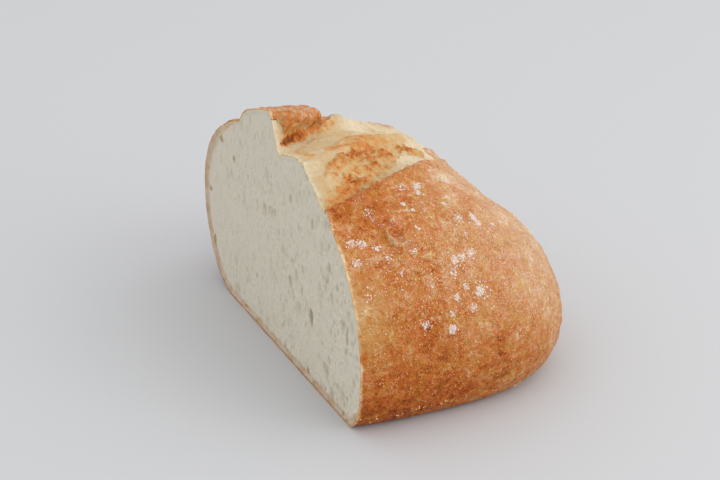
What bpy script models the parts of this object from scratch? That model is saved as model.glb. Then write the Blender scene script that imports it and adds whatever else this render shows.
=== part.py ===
"""Half of a crusty bread roll, cut straight across and resting on its flat base.

The roll was scored along its top before baking. The score has opened into a wide torn band, and on the far
side of the band the crust has lifted into an ear. The cut face is flat, with a few large crumb holes.

Shape is worked out in the cut's own frame: x runs from the cut (x = 0) to the rounded end, y runs across the
cut from the near side to the far side, z is up. The finished half is then centred on its base.
"""

import math

import bmesh
import bpy
import numpy as np
from mathutils import Matrix, Vector, noise

MM = 0.001

# Plan of the roll, seen from above.
WIDEST_FROM_CUT = 17.8 * MM
END_REACH = 59.6 * MM
RIDGE_Y = 45.0 * MM
NEAR_REACH = 55.7 * MM
FAR_REACH = 69.7 * MM
PLAN_SQUARENESS = 3.0
CUT_NARROWING = 0.03

# Upright profile: the height of the top, of the widest level, and the share of the reach that stands on the table.
DOME_HEIGHT = 66.0 * MM
END_DROOP = 0.10
NEAR_BELLY, FAR_BELLY, END_BELLY = 18.0 * MM, 27.0 * MM, 14.3 * MM
NEAR_FOOT, FAR_FOOT, END_FOOT = 0.83, 0.64, 0.85
NEAR_ROUNDNESS, FAR_ROUNDNESS, END_ROUNDNESS = 2.0, 2.2, 1.82
BASE_SINK = 1.0 * MM

# The score: a torn band between the near crust's edge and the foot of the ear, both slanting to the far side.
# The near edge also bends that way, by its bend (per metre) times the square of the distance from the cut.
BAND_EDGE_Y, BAND_EDGE_SLANT, BAND_EDGE_BEND = 13.0 * MM, 0.25, 4.8
BAND_ROOT_Y, BAND_ROOT_SLANT = 48.0 * MM, 0.62
BAND_CLOSES = (44.0 * MM, 58.0 * MM)
BAND_HALF_AT_END = 5.0 * MM
CRUST_LIP, CRUST_LIP_WIDTH = 1.3 * MM, 3.0 * MM
# Height across the band, as (share of its width, height).
BAND_PROFILE = ((0.0, 0.0), (0.05, -1.2 * MM), (0.28, -0.3 * MM), (0.47, 2.2 * MM), (0.8, -1.6 * MM), (1.0, -3.2 * MM))

# The ear: crust lifted beside the band, lower away from the cut, with a hollow under its lip.
EAR_RISE, EAR_FALL, EAR_FACE = 8.0 * MM, 0.20, 6.0 * MM
EAR_BACK_SLOPE_END, EAR_BACK_STEP = 29.0 * MM, 1.6 * MM
EAR_CLOSES = (17.5 * MM, 20.0 * MM)
EAR_FRONT_AT_CUT = ((0.0, 0.0, 0.0), (0.25, -0.2 * MM, 0.2), (0.75, 0.2 * MM, 0.76), (1.0, 0.0, 1.0))
# Front of the ear from its foot up, as (share of its depth, shift away from the band, share of the rise).
EAR_FRONT = (
    (0.0, 0.0, 0.0),
    (0.2, 2.0 * MM, 0.06),
    (0.4, 1.8 * MM, 0.25),
    (0.6, -1.0 * MM, 0.5),
    (0.75, -2.6 * MM, 0.64),
    (0.9, -2.8 * MM, 0.88),
    (1.0, -1.6 * MM, 1.0),
)
EAR_UNDERCUT_STARTS, EAR_TOP_SETTLES = 5.0 * MM, 7.0 * MM

# Unevenness of the whole crust, and of the torn band.
LUMP_SIZE, LUMP_HEIGHT = 26.0 * MM, 0.9 * MM
CRAG_SIZE, CRAG_LENGTHWISE, CRAG_UPRIGHT, CRAG_HEIGHT = 6.0 * MM, 0.42, 0.5, 1.3 * MM
CRAG_MARGINS = (2.0 * MM, 1.0 * MM)

# Dents in the dome, as (x, y, half length, half width, depth): the groove before the end's rounded lump, the
# closing of the score, and a flatter patch on the far side.
DENTS = (
    (57.0 * MM, 30.0 * MM, 6.0 * MM, 11.0 * MM, 2.2 * MM),
    (61.5 * MM, 47.0 * MM, 6.0 * MM, 11.0 * MM, 1.9 * MM),
    (59.5 * MM, 73.0 * MM, 7.0 * MM, 11.0 * MM, 1.6 * MM),
    (48.0 * MM, 54.0 * MM, 5.0 * MM, 6.0 * MM, 1.3 * MM),
    (37.0 * MM, 81.0 * MM, 9.0 * MM, 9.0 * MM, 1.0 * MM),
)
SCORE_FADES_IN = (0.55 * DOME_HEIGHT, 0.75 * DOME_HEIGHT)
LUMPS_FADE_IN = (0.5 * MM, 12.0 * MM)

# The largest holes in the cut crumb: y, z, half width, half height, depth.
CRUMB_HOLES = (
    (26.0, 20.5, 1.5, 3.2, 1.6),
    (1.5, 25.5, 1.0, 2.6, 1.2),
    (41.3, 25.3, 1.2, 2.2, 1.1),
    (32.3, 26.0, 0.8, 2.0, 1.0),
    (13.0, 41.0, 1.0, 2.2, 1.0),
    (40.0, 51.0, 0.9, 1.8, 0.9),
    (24.4, 49.4, 1.0, 2.0, 0.9),
    (85.0, 47.2, 1.5, 1.4, 1.0),
)

SPHERE_SUBDIVISIONS = 8
CUT_AT = -0.5  # where the cut lies on the unit sphere that the dome is mapped from
SPARE_BEYOND = -0.75
POLE_RADIUS = 1e-6
SMOOTHING_PASSES, SMOOTHING = 2, 0.5
DOME_TRIANGLES = 7200
SNAP_TO_CUT = 0.25 * MM
MERGE_DISTANCE = 0.02 * MM

FOOT_END = 1.6  # upright angle, counted from 1 at the belly to 2 underneath, at which the side meets the base
BASE_SINK_STARTS = 6.0

CRUST_COLOUR, CRUST_ROUGHNESS = (0.60, 0.27, 0.09, 1.0), 0.6
CRUMB_COLOUR, CRUMB_ROUGHNESS = (0.72, 0.68, 0.58, 1.0), 0.9
SHARP_ANGLE = math.radians(40.0)
CUT_FACING = -0.2


def smooth_step(value, low, high):
    """0 below low, 1 above high, and an even curve between."""
    share = np.clip((value - low) / (high - low), 0.0, 1.0)
    return share * share * (3.0 - 2.0 * share)


def blend_by_side(across, near, far, end):
    """A profile value that changes from the end's to the near or far side's as the plan angle turns."""
    side = np.where(across < 0.0, near, far)
    weight = across**2
    return side * weight + end * (1.0 - weight)


def dome_points(unit):
    """Maps points of a unit sphere to the smooth roll: the end is a rounded dome, the cut side a straight loft."""
    a, b, c = unit[:, 0], unit[:, 1], unit[:, 2]
    beyond_widest = a >= 0.0
    plan = np.where(beyond_widest, np.hypot(a, b), np.abs(b))
    upright = np.arctan2(plan, c) / (math.pi / 2)
    at_pole = plan < POLE_RADIUS
    plan = np.where(at_pole, 1.0, plan)
    forward = np.where(at_pole, 1.0, np.where(beyond_widest, a, 0.0) / plan)
    across = np.where(at_pole, 0.0, b / plan)

    reach_across = np.where(across < 0.0, NEAR_REACH, FAR_REACH)
    n = PLAN_SQUARENESS
    reach = (np.abs(forward / END_REACH) ** n + np.abs(across / reach_across) ** n) ** (-1.0 / n)
    belly = blend_by_side(across, NEAR_BELLY, FAR_BELLY, END_BELLY)
    roundness = blend_by_side(across, NEAR_ROUNDNESS, FAR_ROUNDNESS, END_ROUNDNESS)
    foot = blend_by_side(across, NEAR_FOOT, FAR_FOOT, END_FOOT)

    turn = np.clip(upright, 0.0, 1.0) * (math.pi / 2)
    top_radius = reach * np.sin(turn) ** (2.0 / roundness)
    top_height = belly + (DOME_HEIGHT - belly) * np.clip(np.cos(turn), 0.0, 1.0) ** (2.0 / roundness)
    tuck = np.clip((upright - 1.0) / (FOOT_END - 1.0), 0.0, 1.0) * (math.pi / 2)
    low_radius = reach * (foot + (1.0 - foot) * np.cos(tuck))
    low_height = belly * (1.0 - np.sin(tuck))
    base_share = np.clip((upright - FOOT_END) / (2.0 - FOOT_END), 0.0, 1.0)
    low_radius = low_radius * (1.0 - base_share)
    low_height = low_height - BASE_SINK * np.minimum(1.0, base_share * BASE_SINK_STARTS)

    radius = np.where(upright <= 1.0, top_radius, low_radius)
    height = np.where(upright <= 1.0, top_height, low_height)
    towards_cut = np.clip(a / CUT_AT, 0.0, None)
    narrowing = np.where(beyond_widest, 1.0, 1.0 - CUT_NARROWING * np.clip(towards_cut, 0.0, 1.2) ** 2)
    x = WIDEST_FROM_CUT * (1.0 - towards_cut) + radius * forward
    y = RIDGE_Y + radius * across * narrowing
    droop = END_DROOP * np.clip(x / (WIDEST_FROM_CUT + END_REACH), 0.0, 1.0) ** 1.5 * height / DOME_HEIGHT
    return np.stack([x, y, height * (1.0 - droop)], axis=1)


def band_lines(x):
    """The y of the near crust's torn edge and of the foot of the ear, which meet where the score closes."""
    edge = BAND_EDGE_Y + BAND_EDGE_SLANT * x + BAND_EDGE_BEND * x * x
    root = BAND_ROOT_Y + BAND_ROOT_SLANT * np.maximum(x - 4.0 * MM, 0.0)
    closing = smooth_step(x, *BAND_CLOSES)
    middle = (edge + root) / 2.0
    edge = edge + (middle - BAND_HALF_AT_END - edge) * closing
    root = root + (middle + BAND_HALF_AT_END - root) * closing
    return edge, root


def band_height(x, y):
    """Height that the torn band and the near crust's lip add to the smooth dome."""
    edge, root = band_lines(x)
    strength = 1.0 - smooth_step(x, *BAND_CLOSES)
    share = (y - edge) / (root - edge)
    shares, heights = zip(*BAND_PROFILE)
    inside = np.interp(share, shares, heights)
    beyond = heights[-1] * (1.0 - smooth_step(y - root, 0.0, EAR_FACE))
    lip = CRUST_LIP * smooth_step(y - edge, -CRUST_LIP_WIDTH, -0.3 * MM) * (1.0 - smooth_step(y - edge, 0.0, 1.0 * MM))
    return strength * (np.where(share <= 1.0, inside, beyond) + lip)


def ear_shift(x, y):
    """How far the ear moves the dome's surface, as (sideways, up)."""
    _, root = band_lines(x)
    strength = 1.0 - smooth_step(x, *EAR_CLOSES)
    behind = y - root
    back = np.clip((behind - EAR_FACE) / (EAR_BACK_SLOPE_END - EAR_FACE), 0.0, 1.0)
    step = smooth_step(behind, EAR_BACK_SLOPE_END - 1.0 * MM, EAR_BACK_SLOPE_END + 2.0 * MM)
    top = EAR_RISE - EAR_BACK_STEP - EAR_FALL * np.maximum(x, 0.0)
    rise = top * (1.0 - back) ** 0.8 + EAR_BACK_STEP * (1.0 - step)
    undercut = smooth_step(x, 0.0, EAR_UNDERCUT_STARTS)
    sideways, up = 0.0, 0.0
    for front, weight in ((EAR_FRONT_AT_CUT, 1.0 - undercut), (EAR_FRONT, undercut)):
        shares, shifts, heights = zip(*front)
        sideways = sideways + weight * np.interp(behind / EAR_FACE, shares, shifts)
        up = up + weight * np.interp(behind / EAR_FACE, shares, heights)
    sideways = sideways * (1.0 - smooth_step(behind, EAR_FACE, EAR_FACE + EAR_TOP_SETTLES))
    return strength * sideways, strength * rise * up


def crag_noise(point):
    """Torn dough is drawn out along the roll, so its crags are longer than they are wide."""
    stretched = Vector((point.x * CRAG_LENGTHWISE, point.y, point.z * CRAG_UPRIGHT)) / CRAG_SIZE
    return noise.turbulence(stretched, 3, False, noise_basis="PERLIN_ORIGINAL") - 0.5


def dent_depth(x, y):
    """Depth of the dents in the upper crust."""
    depth = 0.0
    for dent_x, dent_y, half_length, half_width, deepest in DENTS:
        depth = depth + deepest * np.exp(-(((x - dent_x) / half_length) ** 2) - ((y - dent_y) / half_width) ** 2)
    return depth


def relief(points, normals):
    """Moves the smooth dome's points to the real crust: score, ear, crags, lumps and dents."""
    x, y, z = points.T
    upper = smooth_step(z, *SCORE_FADES_IN)
    edge, root = band_lines(x)
    near_margin, far_margin = CRAG_MARGINS
    in_band = smooth_step(y, edge, edge + near_margin) * (1.0 - smooth_step(y, root - far_margin, root))
    in_band = in_band * (1.0 - smooth_step(x, *BAND_CLOSES)) * upper
    lumps = np.array([noise.noise(Vector(p) / LUMP_SIZE) for p in points])
    crags = np.array([crag_noise(Vector(p)) for p in points])
    off_base = smooth_step(z, *LUMPS_FADE_IN)
    dents = dent_depth(x, y) * off_base
    along_normal = LUMP_HEIGHT * lumps * off_base + CRAG_HEIGHT * crags * in_band - dents
    moved = points + normals * along_normal[:, None]
    sideways, up = ear_shift(x, y)
    moved[:, 1] += sideways * upper
    moved[:, 2] += (up + band_height(x, y)) * upper
    return moved


def fill_open_rim(shell):
    """Closes the rim that a plane cut leaves with one flat face."""
    rim = [edge for edge in shell.edges if edge.is_boundary]
    bmesh.ops.contextual_create(shell, geom=rim)


def cut_flat(shell, point, outward):
    """Cuts away what lies outside a plane and closes the cut."""
    everything = shell.verts[:] + shell.edges[:] + shell.faces[:]
    bmesh.ops.bisect_plane(
        shell,
        geom=everything,
        dist=SNAP_TO_CUT,
        plane_co=point,
        plane_no=outward,
        use_snap_center=True,
        clear_outer=True,
    )
    fill_open_rim(shell)


def smooth_dome():
    """A fine sphere mapped to the roll, with its relief, as a bmesh still whole below and behind the cut."""
    shell = bmesh.new()
    bmesh.ops.create_icosphere(shell, subdivisions=SPHERE_SUBDIVISIONS, radius=1.0)
    spare = [face for face in shell.faces if max(vert.co.x for vert in face.verts) < SPARE_BEYOND]
    bmesh.ops.delete(shell, geom=spare, context="FACES")
    fill_open_rim(shell)
    unit = np.array([vert.co for vert in shell.verts])
    unit = unit / np.linalg.norm(unit, axis=1)[:, None]
    points = dome_points(unit)
    for vert, point in zip(shell.verts, points):
        vert.co = point
    bmesh.ops.recalc_face_normals(shell, faces=shell.faces[:])
    shell.normal_update()
    normals = np.array([vert.normal for vert in shell.verts])
    for vert, point in zip(shell.verts, relief(points, normals)):
        vert.co = point
    for _ in range(SMOOTHING_PASSES):
        bmesh.ops.smooth_vert(
            shell, verts=shell.verts[:], factor=SMOOTHING, use_axis_x=True, use_axis_y=True, use_axis_z=True
        )
    return shell


def object_from(shell, name):
    """Puts a bmesh into a new object in the scene."""
    mesh = bpy.data.meshes.new(name)
    shell.to_mesh(mesh)
    shell.free()
    made = bpy.data.objects.new(name, mesh)
    bpy.context.scene.collection.objects.link(made)
    return made


def apply_modifiers(target):
    """Replaces an object's mesh by the one its modifiers make."""
    graph = bpy.context.evaluated_depsgraph_get()
    finished = bpy.data.meshes.new_from_object(target.evaluated_get(graph), depsgraph=graph)
    target.modifiers.clear()
    target.data = finished


def thin_out(target, triangles):
    """Reduces a mesh to about that many triangles, keeping them where the surface turns."""
    thin = target.modifiers.new("Thin", "DECIMATE")
    thin.ratio = triangles / len(target.data.polygons)
    thin.use_collapse_triangulate = True
    apply_modifiers(target)


def cut_half(roll):
    """Cuts the roll flat underneath and across, and drops slivers."""
    shell = bmesh.new()
    shell.from_mesh(roll.data)
    cut_flat(shell, (0.0, 0.0, 0.0), (0.0, 0.0, -1.0))
    cut_flat(shell, (0.0, 0.0, 0.0), (-1.0, 0.0, 0.0))
    bmesh.ops.remove_doubles(shell, verts=shell.verts[:], dist=MERGE_DISTANCE)
    bmesh.ops.triangulate(shell, faces=shell.faces[:])
    bmesh.ops.recalc_face_normals(shell, faces=shell.faces[:])
    shell.to_mesh(roll.data)
    shell.free()


def open_crumb_holes(roll):
    """Hollows the largest holes of the cut crumb with shallow egg-shaped cutters."""
    cutters = bmesh.new()
    for y, z, half_width, half_height, depth in CRUMB_HOLES:
        size = Matrix.Diagonal((depth * MM, half_width * MM, half_height * MM, 1.0))
        place = Matrix.Translation((0.0, y * MM, z * MM))
        bmesh.ops.create_icosphere(cutters, subdivisions=2, radius=1.0, matrix=place @ size)
    cutter = object_from(cutters, "crumb_hole_cutters")
    cutter.hide_render = True
    cutter.display_type = "WIRE"
    cut = roll.modifiers.new("Crumb holes", "BOOLEAN")
    cut.operation = "DIFFERENCE"
    cut.solver = "EXACT"
    cut.object = cutter
    apply_modifiers(roll)
    bpy.data.objects.remove(cutter)


def centre_on_base(roll):
    """Puts the middle of the base's outline at the origin."""
    corners = np.array([vert.co for vert in roll.data.vertices])
    low, high = corners.min(axis=0), corners.max(axis=0)
    roll.data.transform(Matrix.Translation((-(low[0] + high[0]) / 2.0, -(low[1] + high[1]) / 2.0, -low[2])))


def bread_material(name, colour, roughness):
    """A plain baked surface."""
    material = bpy.data.materials.new(name)
    material.use_nodes = True
    shader = material.node_tree.nodes["Principled BSDF"]
    shader.inputs["Base Color"].default_value = colour
    shader.inputs["Roughness"].default_value = roughness
    shader.inputs["Metallic"].default_value = 0.0
    material.diffuse_color = colour
    return material


def dress(roll):
    """Gives the crust and the cut crumb their materials."""
    roll.data.materials.clear()
    roll.data.materials.append(bread_material("Crust", CRUST_COLOUR, CRUST_ROUGHNESS))
    roll.data.materials.append(bread_material("Crumb", CRUMB_COLOUR, CRUMB_ROUGHNESS))
    cut_x = min(vert.co.x for vert in roll.data.vertices)
    deepest = max(depth for *_, depth in CRUMB_HOLES) * MM
    for face in roll.data.polygons:
        at_cut = max(roll.data.vertices[i].co.x for i in face.vertices) < cut_x + deepest
        face.material_index = 1 if at_cut and face.normal.x < CUT_FACING else 0
    roll.data.shade_smooth()
    roll.data.set_sharp_from_angle(angle=SHARP_ANGLE)


def main():
    for old in list(bpy.data.objects):
        bpy.data.objects.remove(old)
    roll = object_from(smooth_dome(), "half_roll")
    thin_out(roll, DOME_TRIANGLES)
    cut_half(roll)
    open_crumb_holes(roll)
    centre_on_base(roll)
    dress(roll)


main()
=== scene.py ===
"""Half of a crusty bread roll, cut straight across and resting on its flat base, on a plain pale floor.

The roll was scored along its top before baking. The score has opened into a wide torn band of pale dough, and
on the far side of the band the crust has lifted into an ear. The crust is one piece with a shallow recess
behind the cut, the crumb is a block that fills the recess, and flour, semolina and crumbs lie on the crust.

Shape is worked out in the cut's own frame: x runs from the cut (x = 0) to the rounded end, y runs across the
cut from the near side to the far side, z is up. Each finished piece is then moved to the roll's place.
"""

import logging
import math
import random
from dataclasses import dataclass, field
from enum import Enum

import bmesh
import bpy
import numpy as np
from bmesh.types import BMEdge, BMesh, BMVert
from bpy.types import Material, NodeSocket, Object
from mathutils import Matrix, Vector, kdtree, noise
from mathutils.bvhtree import BVHTree


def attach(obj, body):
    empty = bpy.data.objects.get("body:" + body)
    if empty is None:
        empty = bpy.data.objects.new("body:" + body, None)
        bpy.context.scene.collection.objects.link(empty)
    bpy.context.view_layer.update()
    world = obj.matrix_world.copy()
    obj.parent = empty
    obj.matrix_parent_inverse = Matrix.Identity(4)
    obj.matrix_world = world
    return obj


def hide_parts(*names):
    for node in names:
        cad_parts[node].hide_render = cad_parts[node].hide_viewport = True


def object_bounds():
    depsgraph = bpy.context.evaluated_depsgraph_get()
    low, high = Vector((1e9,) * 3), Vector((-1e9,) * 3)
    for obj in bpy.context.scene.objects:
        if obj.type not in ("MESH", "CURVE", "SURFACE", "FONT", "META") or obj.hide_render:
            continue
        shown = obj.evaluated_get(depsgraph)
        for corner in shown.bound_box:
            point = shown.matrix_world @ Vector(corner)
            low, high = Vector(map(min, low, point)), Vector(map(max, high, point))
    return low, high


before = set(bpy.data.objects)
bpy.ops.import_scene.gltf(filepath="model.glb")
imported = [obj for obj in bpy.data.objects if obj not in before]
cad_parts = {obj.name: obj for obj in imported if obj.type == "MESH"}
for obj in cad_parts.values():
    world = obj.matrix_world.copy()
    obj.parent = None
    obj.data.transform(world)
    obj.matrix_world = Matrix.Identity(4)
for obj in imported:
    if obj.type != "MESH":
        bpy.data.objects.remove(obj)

Triple = tuple[float, float, float]
Colour = Triple
Stops = tuple[tuple[float, Colour], ...]
Curve = tuple[Triple, ...]
Row = tuple[float, ...]

MM = 0.001
EVEN: Triple = (1.0, 1.0, 1.0)
NODE = "half_roll"
BODY = "root"
SOLID_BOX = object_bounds()

log = logging.getLogger("bread_roll")


class Slot(Enum):
    """The roll's material slots."""

    CRUST = "crust"
    CRUMB = "crumb"
    FLOUR = "flour"


def smooth_step(value: np.ndarray, low: float | np.ndarray, high: float | np.ndarray) -> np.ndarray:
    """0 below low, 1 above high, and an even curve between.

    Args:
        value: the values to test.
        low: where the curve starts.
        high: where the curve ends.

    Returns:
        A share from 0 to 1 for each value.
    """
    share = np.clip((value - low) / (high - low), 0.0, 1.0)
    return share * share * (3.0 - 2.0 * share)


def rise(value: np.ndarray, low: float, high: float) -> np.ndarray:
    """0 below low millimetres, 1 above high millimetres, and an even curve between.

    Args:
        value: the values to test, in metres.
        low: where the curve starts, in millimetres.
        high: where the curve ends, in millimetres.

    Returns:
        A share from 0 to 1 for each value.
    """
    return smooth_step(value, low * MM, high * MM)


def fall(value: np.ndarray, low: float, high: float) -> np.ndarray:
    """1 below low millimetres, 0 above high millimetres, and an even curve between.

    Args:
        value: the values to test, in metres.
        low: where the curve starts, in millimetres.
        high: where the curve ends, in millimetres.

    Returns:
        A share from 0 to 1 for each value.
    """
    return 1.0 - rise(value, low, high)


def bell(value: np.ndarray, middle: float, half_width: float) -> np.ndarray:
    """The exponent of a bell curve: 0 in its middle and falling to both sides.

    Args:
        value: the values to test, in metres.
        middle: the bell's middle, in millimetres.
        half_width: its half width, in millimetres.

    Returns:
        An exponent for each value, to be added to others and raised by np.exp.
    """
    return -(((value - middle * MM) / (half_width * MM)) ** 2)


def noise_at(points: np.ndarray, size: float, stretch: Triple = EVEN, seed: float = 0.0) -> np.ndarray:
    """Smooth noise from about -1 to 1.

    Args:
        points: places in metres, one row each.
        size: the distance from one lump to the next, in metres.
        stretch: how much shorter the lumps are along x, y and z (below 1 they are longer).
        seed: shifts the noise, so that two fields differ.

    Returns:
        One value per point.
    """
    scaled = points / size * np.array(stretch) + seed
    return np.array([noise.noise(place) for place in scaled.tolist()])


def cells_at(
    points: np.ndarray, size: float, stretch: Triple = EVEN, seed: float = 0.0
) -> tuple[np.ndarray, np.ndarray]:
    """Distance to the nearest of many scattered centres, and a chance that belongs to that centre.

    Args:
        points: places in metres, one row each.
        size: the mean distance between centres, in metres.
        stretch: how much closer the centres are along x, y and z.
        seed: shifts the pattern.

    Returns:
        The distances in metres and the chances from 0 to 1.
    """
    scaled = points / size * np.array(stretch) + seed
    nearest, chances = [], []
    for place in scaled.tolist():
        distances, centres = noise.voronoi(place)
        nearest.append(distances[0])
        chances.append(noise.cell(centres[0] * 37.0) * 0.5 + 0.5)
    return np.array(nearest) * size, np.array(chances)


def coordinates(shell: BMesh) -> np.ndarray:
    """The places of a mesh's corners, one row each."""
    return np.array([vert.co for vert in shell.verts])


@dataclass(frozen=True)
class Spine:
    """A line on the crust, with a half width at each of its points, that a patch or a ridge follows.

    Points are (x, y, z, half width) in millimetres in the cut's frame. A spine in plan ignores z.
    """

    points: tuple[tuple[float, float, float, float], ...]
    in_plan: bool = False

    def nearness(self, places: np.ndarray) -> np.ndarray:
        """How far inside the patch each place lies.

        Args:
            places: points in metres in the cut's frame.

        Returns:
            1 on the line, 0 at the half width, and below 0 outside.
        """
        axes = np.array([1.0, 1.0, 0.0 if self.in_plan else 1.0])
        spots = places * axes
        best = np.full(len(places), -np.inf)
        ends = self.points if len(self.points) > 1 else self.points * 2
        for start, stop in zip(ends, ends[1:]):
            first = np.array(start[:3]) * MM * axes
            run = np.array(stop[:3]) * MM * axes - first
            length = max(float(run @ run), 1e-12)
            share = np.clip((spots - first) @ run / length, 0.0, 1.0)
            gap = np.linalg.norm(spots - first - share[:, None] * run, axis=1)
            width = (start[3] + (stop[3] - start[3]) * share) * MM
            best = np.maximum(best, 1.0 - gap / width)
        return best


def patch(spines: tuple[Spine, ...], places: np.ndarray, ragged: np.ndarray, soft: float) -> np.ndarray:
    """Share of each place that some patches cover.

    Args:
        spines: the patches' lines.
        places: points in metres in the cut's frame.
        ragged: unevenness of the outline, in half widths.
        soft: width of the fade at the outline, in half widths.

    Returns:
        A share from 0 to 1 for each place.
    """
    cover = np.zeros(len(places))
    for spine in spines:
        inside = spine.nearness(places) + ragged
        cover = np.maximum(cover, smooth_step(inside, -soft, soft))
    return cover


@dataclass(frozen=True)
class RollShape:
    """The whole roll's smooth dome, its score, ear, lumps and dents, in metres in the cut's frame."""

    widest_from_cut: float = 17.8 * MM
    end_reach: float = 59.6 * MM
    ridge_y: float = 45.0 * MM
    near_reach: float = 55.7 * MM
    far_reach: float = 69.7 * MM
    plan_squareness: float = 3.0
    cut_narrowing: float = 0.03
    cut_at: float = -0.5
    dome_height: float = 66.0 * MM
    end_droop: float = 0.10
    bellies: Triple = (18.0 * MM, 27.0 * MM, 14.3 * MM)
    feet: Triple = (0.83, 0.64, 0.85)
    roundness: Triple = (2.0, 2.2, 1.82)
    base_sink: float = 1.0 * MM
    base_sink_starts: float = 6.0
    foot_end: float = 1.6
    band_edge: Triple = (13.0 * MM, 0.25, 4.8)
    band_root: tuple[float, float] = (48.0 * MM, 0.62)
    band_closes: tuple[float, float] = (44.0 * MM, 58.0 * MM)
    band_half_at_end: float = 5.0 * MM
    crust_lip: float = 1.3 * MM
    crust_lip_width: float = 3.0 * MM
    band_shares: tuple[float, ...] = (0.0, 0.05, 0.28, 0.47, 0.8, 1.0)
    band_heights: tuple[float, ...] = (0.0, -1.2 * MM, -0.3 * MM, 2.2 * MM, -1.6 * MM, -3.2 * MM)
    ear_rise: float = 8.0 * MM
    ear_fall: float = 0.20
    ear_face: float = 6.0 * MM
    ear_back_slope_end: float = 29.0 * MM
    ear_back_step: float = 1.6 * MM
    ear_closes: tuple[float, float] = (17.5 * MM, 20.0 * MM)
    ear_undercut_starts: float = 5.0 * MM
    ear_top_settles: float = 7.0 * MM
    ear_front_at_cut: Curve = (
        (0.0, 0.0, 0.0),
        (0.25, -0.2 * MM, 0.2),
        (0.75, 0.2 * MM, 0.76),
        (1.0, 0.0, 1.0),
    )
    ear_front: Curve = (
        (0.0, 0.0, 0.0),
        (0.2, 2.0 * MM, 0.06),
        (0.4, 1.8 * MM, 0.25),
        (0.6, -1.0 * MM, 0.5),
        (0.75, -2.6 * MM, 0.64),
        (0.9, -2.8 * MM, 0.88),
        (1.0, -1.6 * MM, 1.0),
    )
    lump_size: float = 26.0 * MM
    lump_height: float = 0.9 * MM
    crag_size: float = 6.0 * MM
    crag_stretch: Triple = (0.42, 1.0, 0.5)
    crag_height: float = 1.3 * MM
    crag_margins: tuple[float, float] = (2.0 * MM, 1.0 * MM)
    dents: tuple[tuple[float, float, float, float, float], ...] = (
        (57.0 * MM, 30.0 * MM, 6.0 * MM, 11.0 * MM, 2.2 * MM),
        (61.5 * MM, 47.0 * MM, 6.0 * MM, 11.0 * MM, 1.9 * MM),
        (59.5 * MM, 73.0 * MM, 7.0 * MM, 11.0 * MM, 1.6 * MM),
        (48.0 * MM, 54.0 * MM, 5.0 * MM, 6.0 * MM, 1.3 * MM),
        (37.0 * MM, 81.0 * MM, 9.0 * MM, 9.0 * MM, 1.0 * MM),
    )
    score_fades_in: tuple[float, float] = (36.3 * MM, 49.5 * MM)
    lumps_fade_in: tuple[float, float] = (0.5 * MM, 12.0 * MM)

    def by_side(self, across: np.ndarray, values: Triple) -> np.ndarray:
        """A profile value that changes from the end's to the near or far side's as the plan angle turns.

        Args:
            across: sine of the plan angle, below 0 on the near side.
            values: the near side's, the far side's and the end's value.

        Returns:
            One value per point.
        """
        near, far, end = values
        side = np.where(across < 0.0, near, far)
        weight = across**2
        return side * weight + end * (1.0 - weight)

    def dome_points(self, unit: np.ndarray) -> np.ndarray:
        """Maps points of a unit sphere to the smooth roll: a rounded end, and a straight loft beside the cut.

        Args:
            unit: points on the unit sphere.

        Returns:
            Points in metres in the cut's frame.
        """
        a, b, c = unit[:, 0], unit[:, 1], unit[:, 2]
        beyond = a >= 0.0
        plan = np.where(beyond, np.hypot(a, b), np.abs(b))
        upright = np.arctan2(plan, c) / (math.pi / 2)
        at_pole = plan < 1e-6
        plan = np.where(at_pole, 1.0, plan)
        forward = np.where(at_pole, 1.0, np.where(beyond, a, 0.0) / plan)
        across = np.where(at_pole, 0.0, b / plan)

        reach_across = np.where(across < 0.0, self.near_reach, self.far_reach)
        n = self.plan_squareness
        reach = (np.abs(forward / self.end_reach) ** n + np.abs(across / reach_across) ** n) ** (-1.0 / n)
        belly = self.by_side(across, self.bellies)
        roundness = self.by_side(across, self.roundness)
        foot = self.by_side(across, self.feet)

        turn = np.clip(upright, 0.0, 1.0) * (math.pi / 2)
        top_radius = reach * np.sin(turn) ** (2.0 / roundness)
        top_height = belly + (self.dome_height - belly) * np.clip(np.cos(turn), 0.0, 1.0) ** (2.0 / roundness)
        tuck = np.clip((upright - 1.0) / (self.foot_end - 1.0), 0.0, 1.0) * (math.pi / 2)
        low_radius = reach * (foot + (1.0 - foot) * np.cos(tuck))
        low_height = belly * (1.0 - np.sin(tuck))
        base_share = np.clip((upright - self.foot_end) / (2.0 - self.foot_end), 0.0, 1.0)
        low_radius = low_radius * (1.0 - base_share)
        low_height = low_height - self.base_sink * np.minimum(1.0, base_share * self.base_sink_starts)

        radius = np.where(upright <= 1.0, top_radius, low_radius)
        height = np.where(upright <= 1.0, top_height, low_height)
        towards_cut = np.clip(a / self.cut_at, 0.0, None)
        narrowing = np.where(beyond, 1.0, 1.0 - self.cut_narrowing * np.clip(towards_cut, 0.0, 1.2) ** 2)
        x = self.widest_from_cut * (1.0 - towards_cut) + radius * forward
        y = self.ridge_y + radius * across * narrowing
        droop = np.clip(x / (self.widest_from_cut + self.end_reach), 0.0, 1.0) ** 1.5
        return np.stack([x, y, height * (1.0 - self.end_droop * droop * height / self.dome_height)], axis=1)

    def band_lines(self, x: np.ndarray) -> tuple[np.ndarray, np.ndarray]:
        """Where the torn band starts and ends across the roll.

        Args:
            x: distances from the cut.

        Returns:
            The y of the near crust's torn edge and of the foot of the ear, which meet where the score closes.
        """
        start, slant, bend = self.band_edge
        edge = start + slant * x + bend * x * x
        foot, foot_slant = self.band_root
        root = foot + foot_slant * np.maximum(x - 4.0 * MM, 0.0)
        closing = smooth_step(x, *self.band_closes)
        middle = (edge + root) / 2.0
        edge = edge + (middle - self.band_half_at_end - edge) * closing
        root = root + (middle + self.band_half_at_end - root) * closing
        return edge, root

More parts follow.
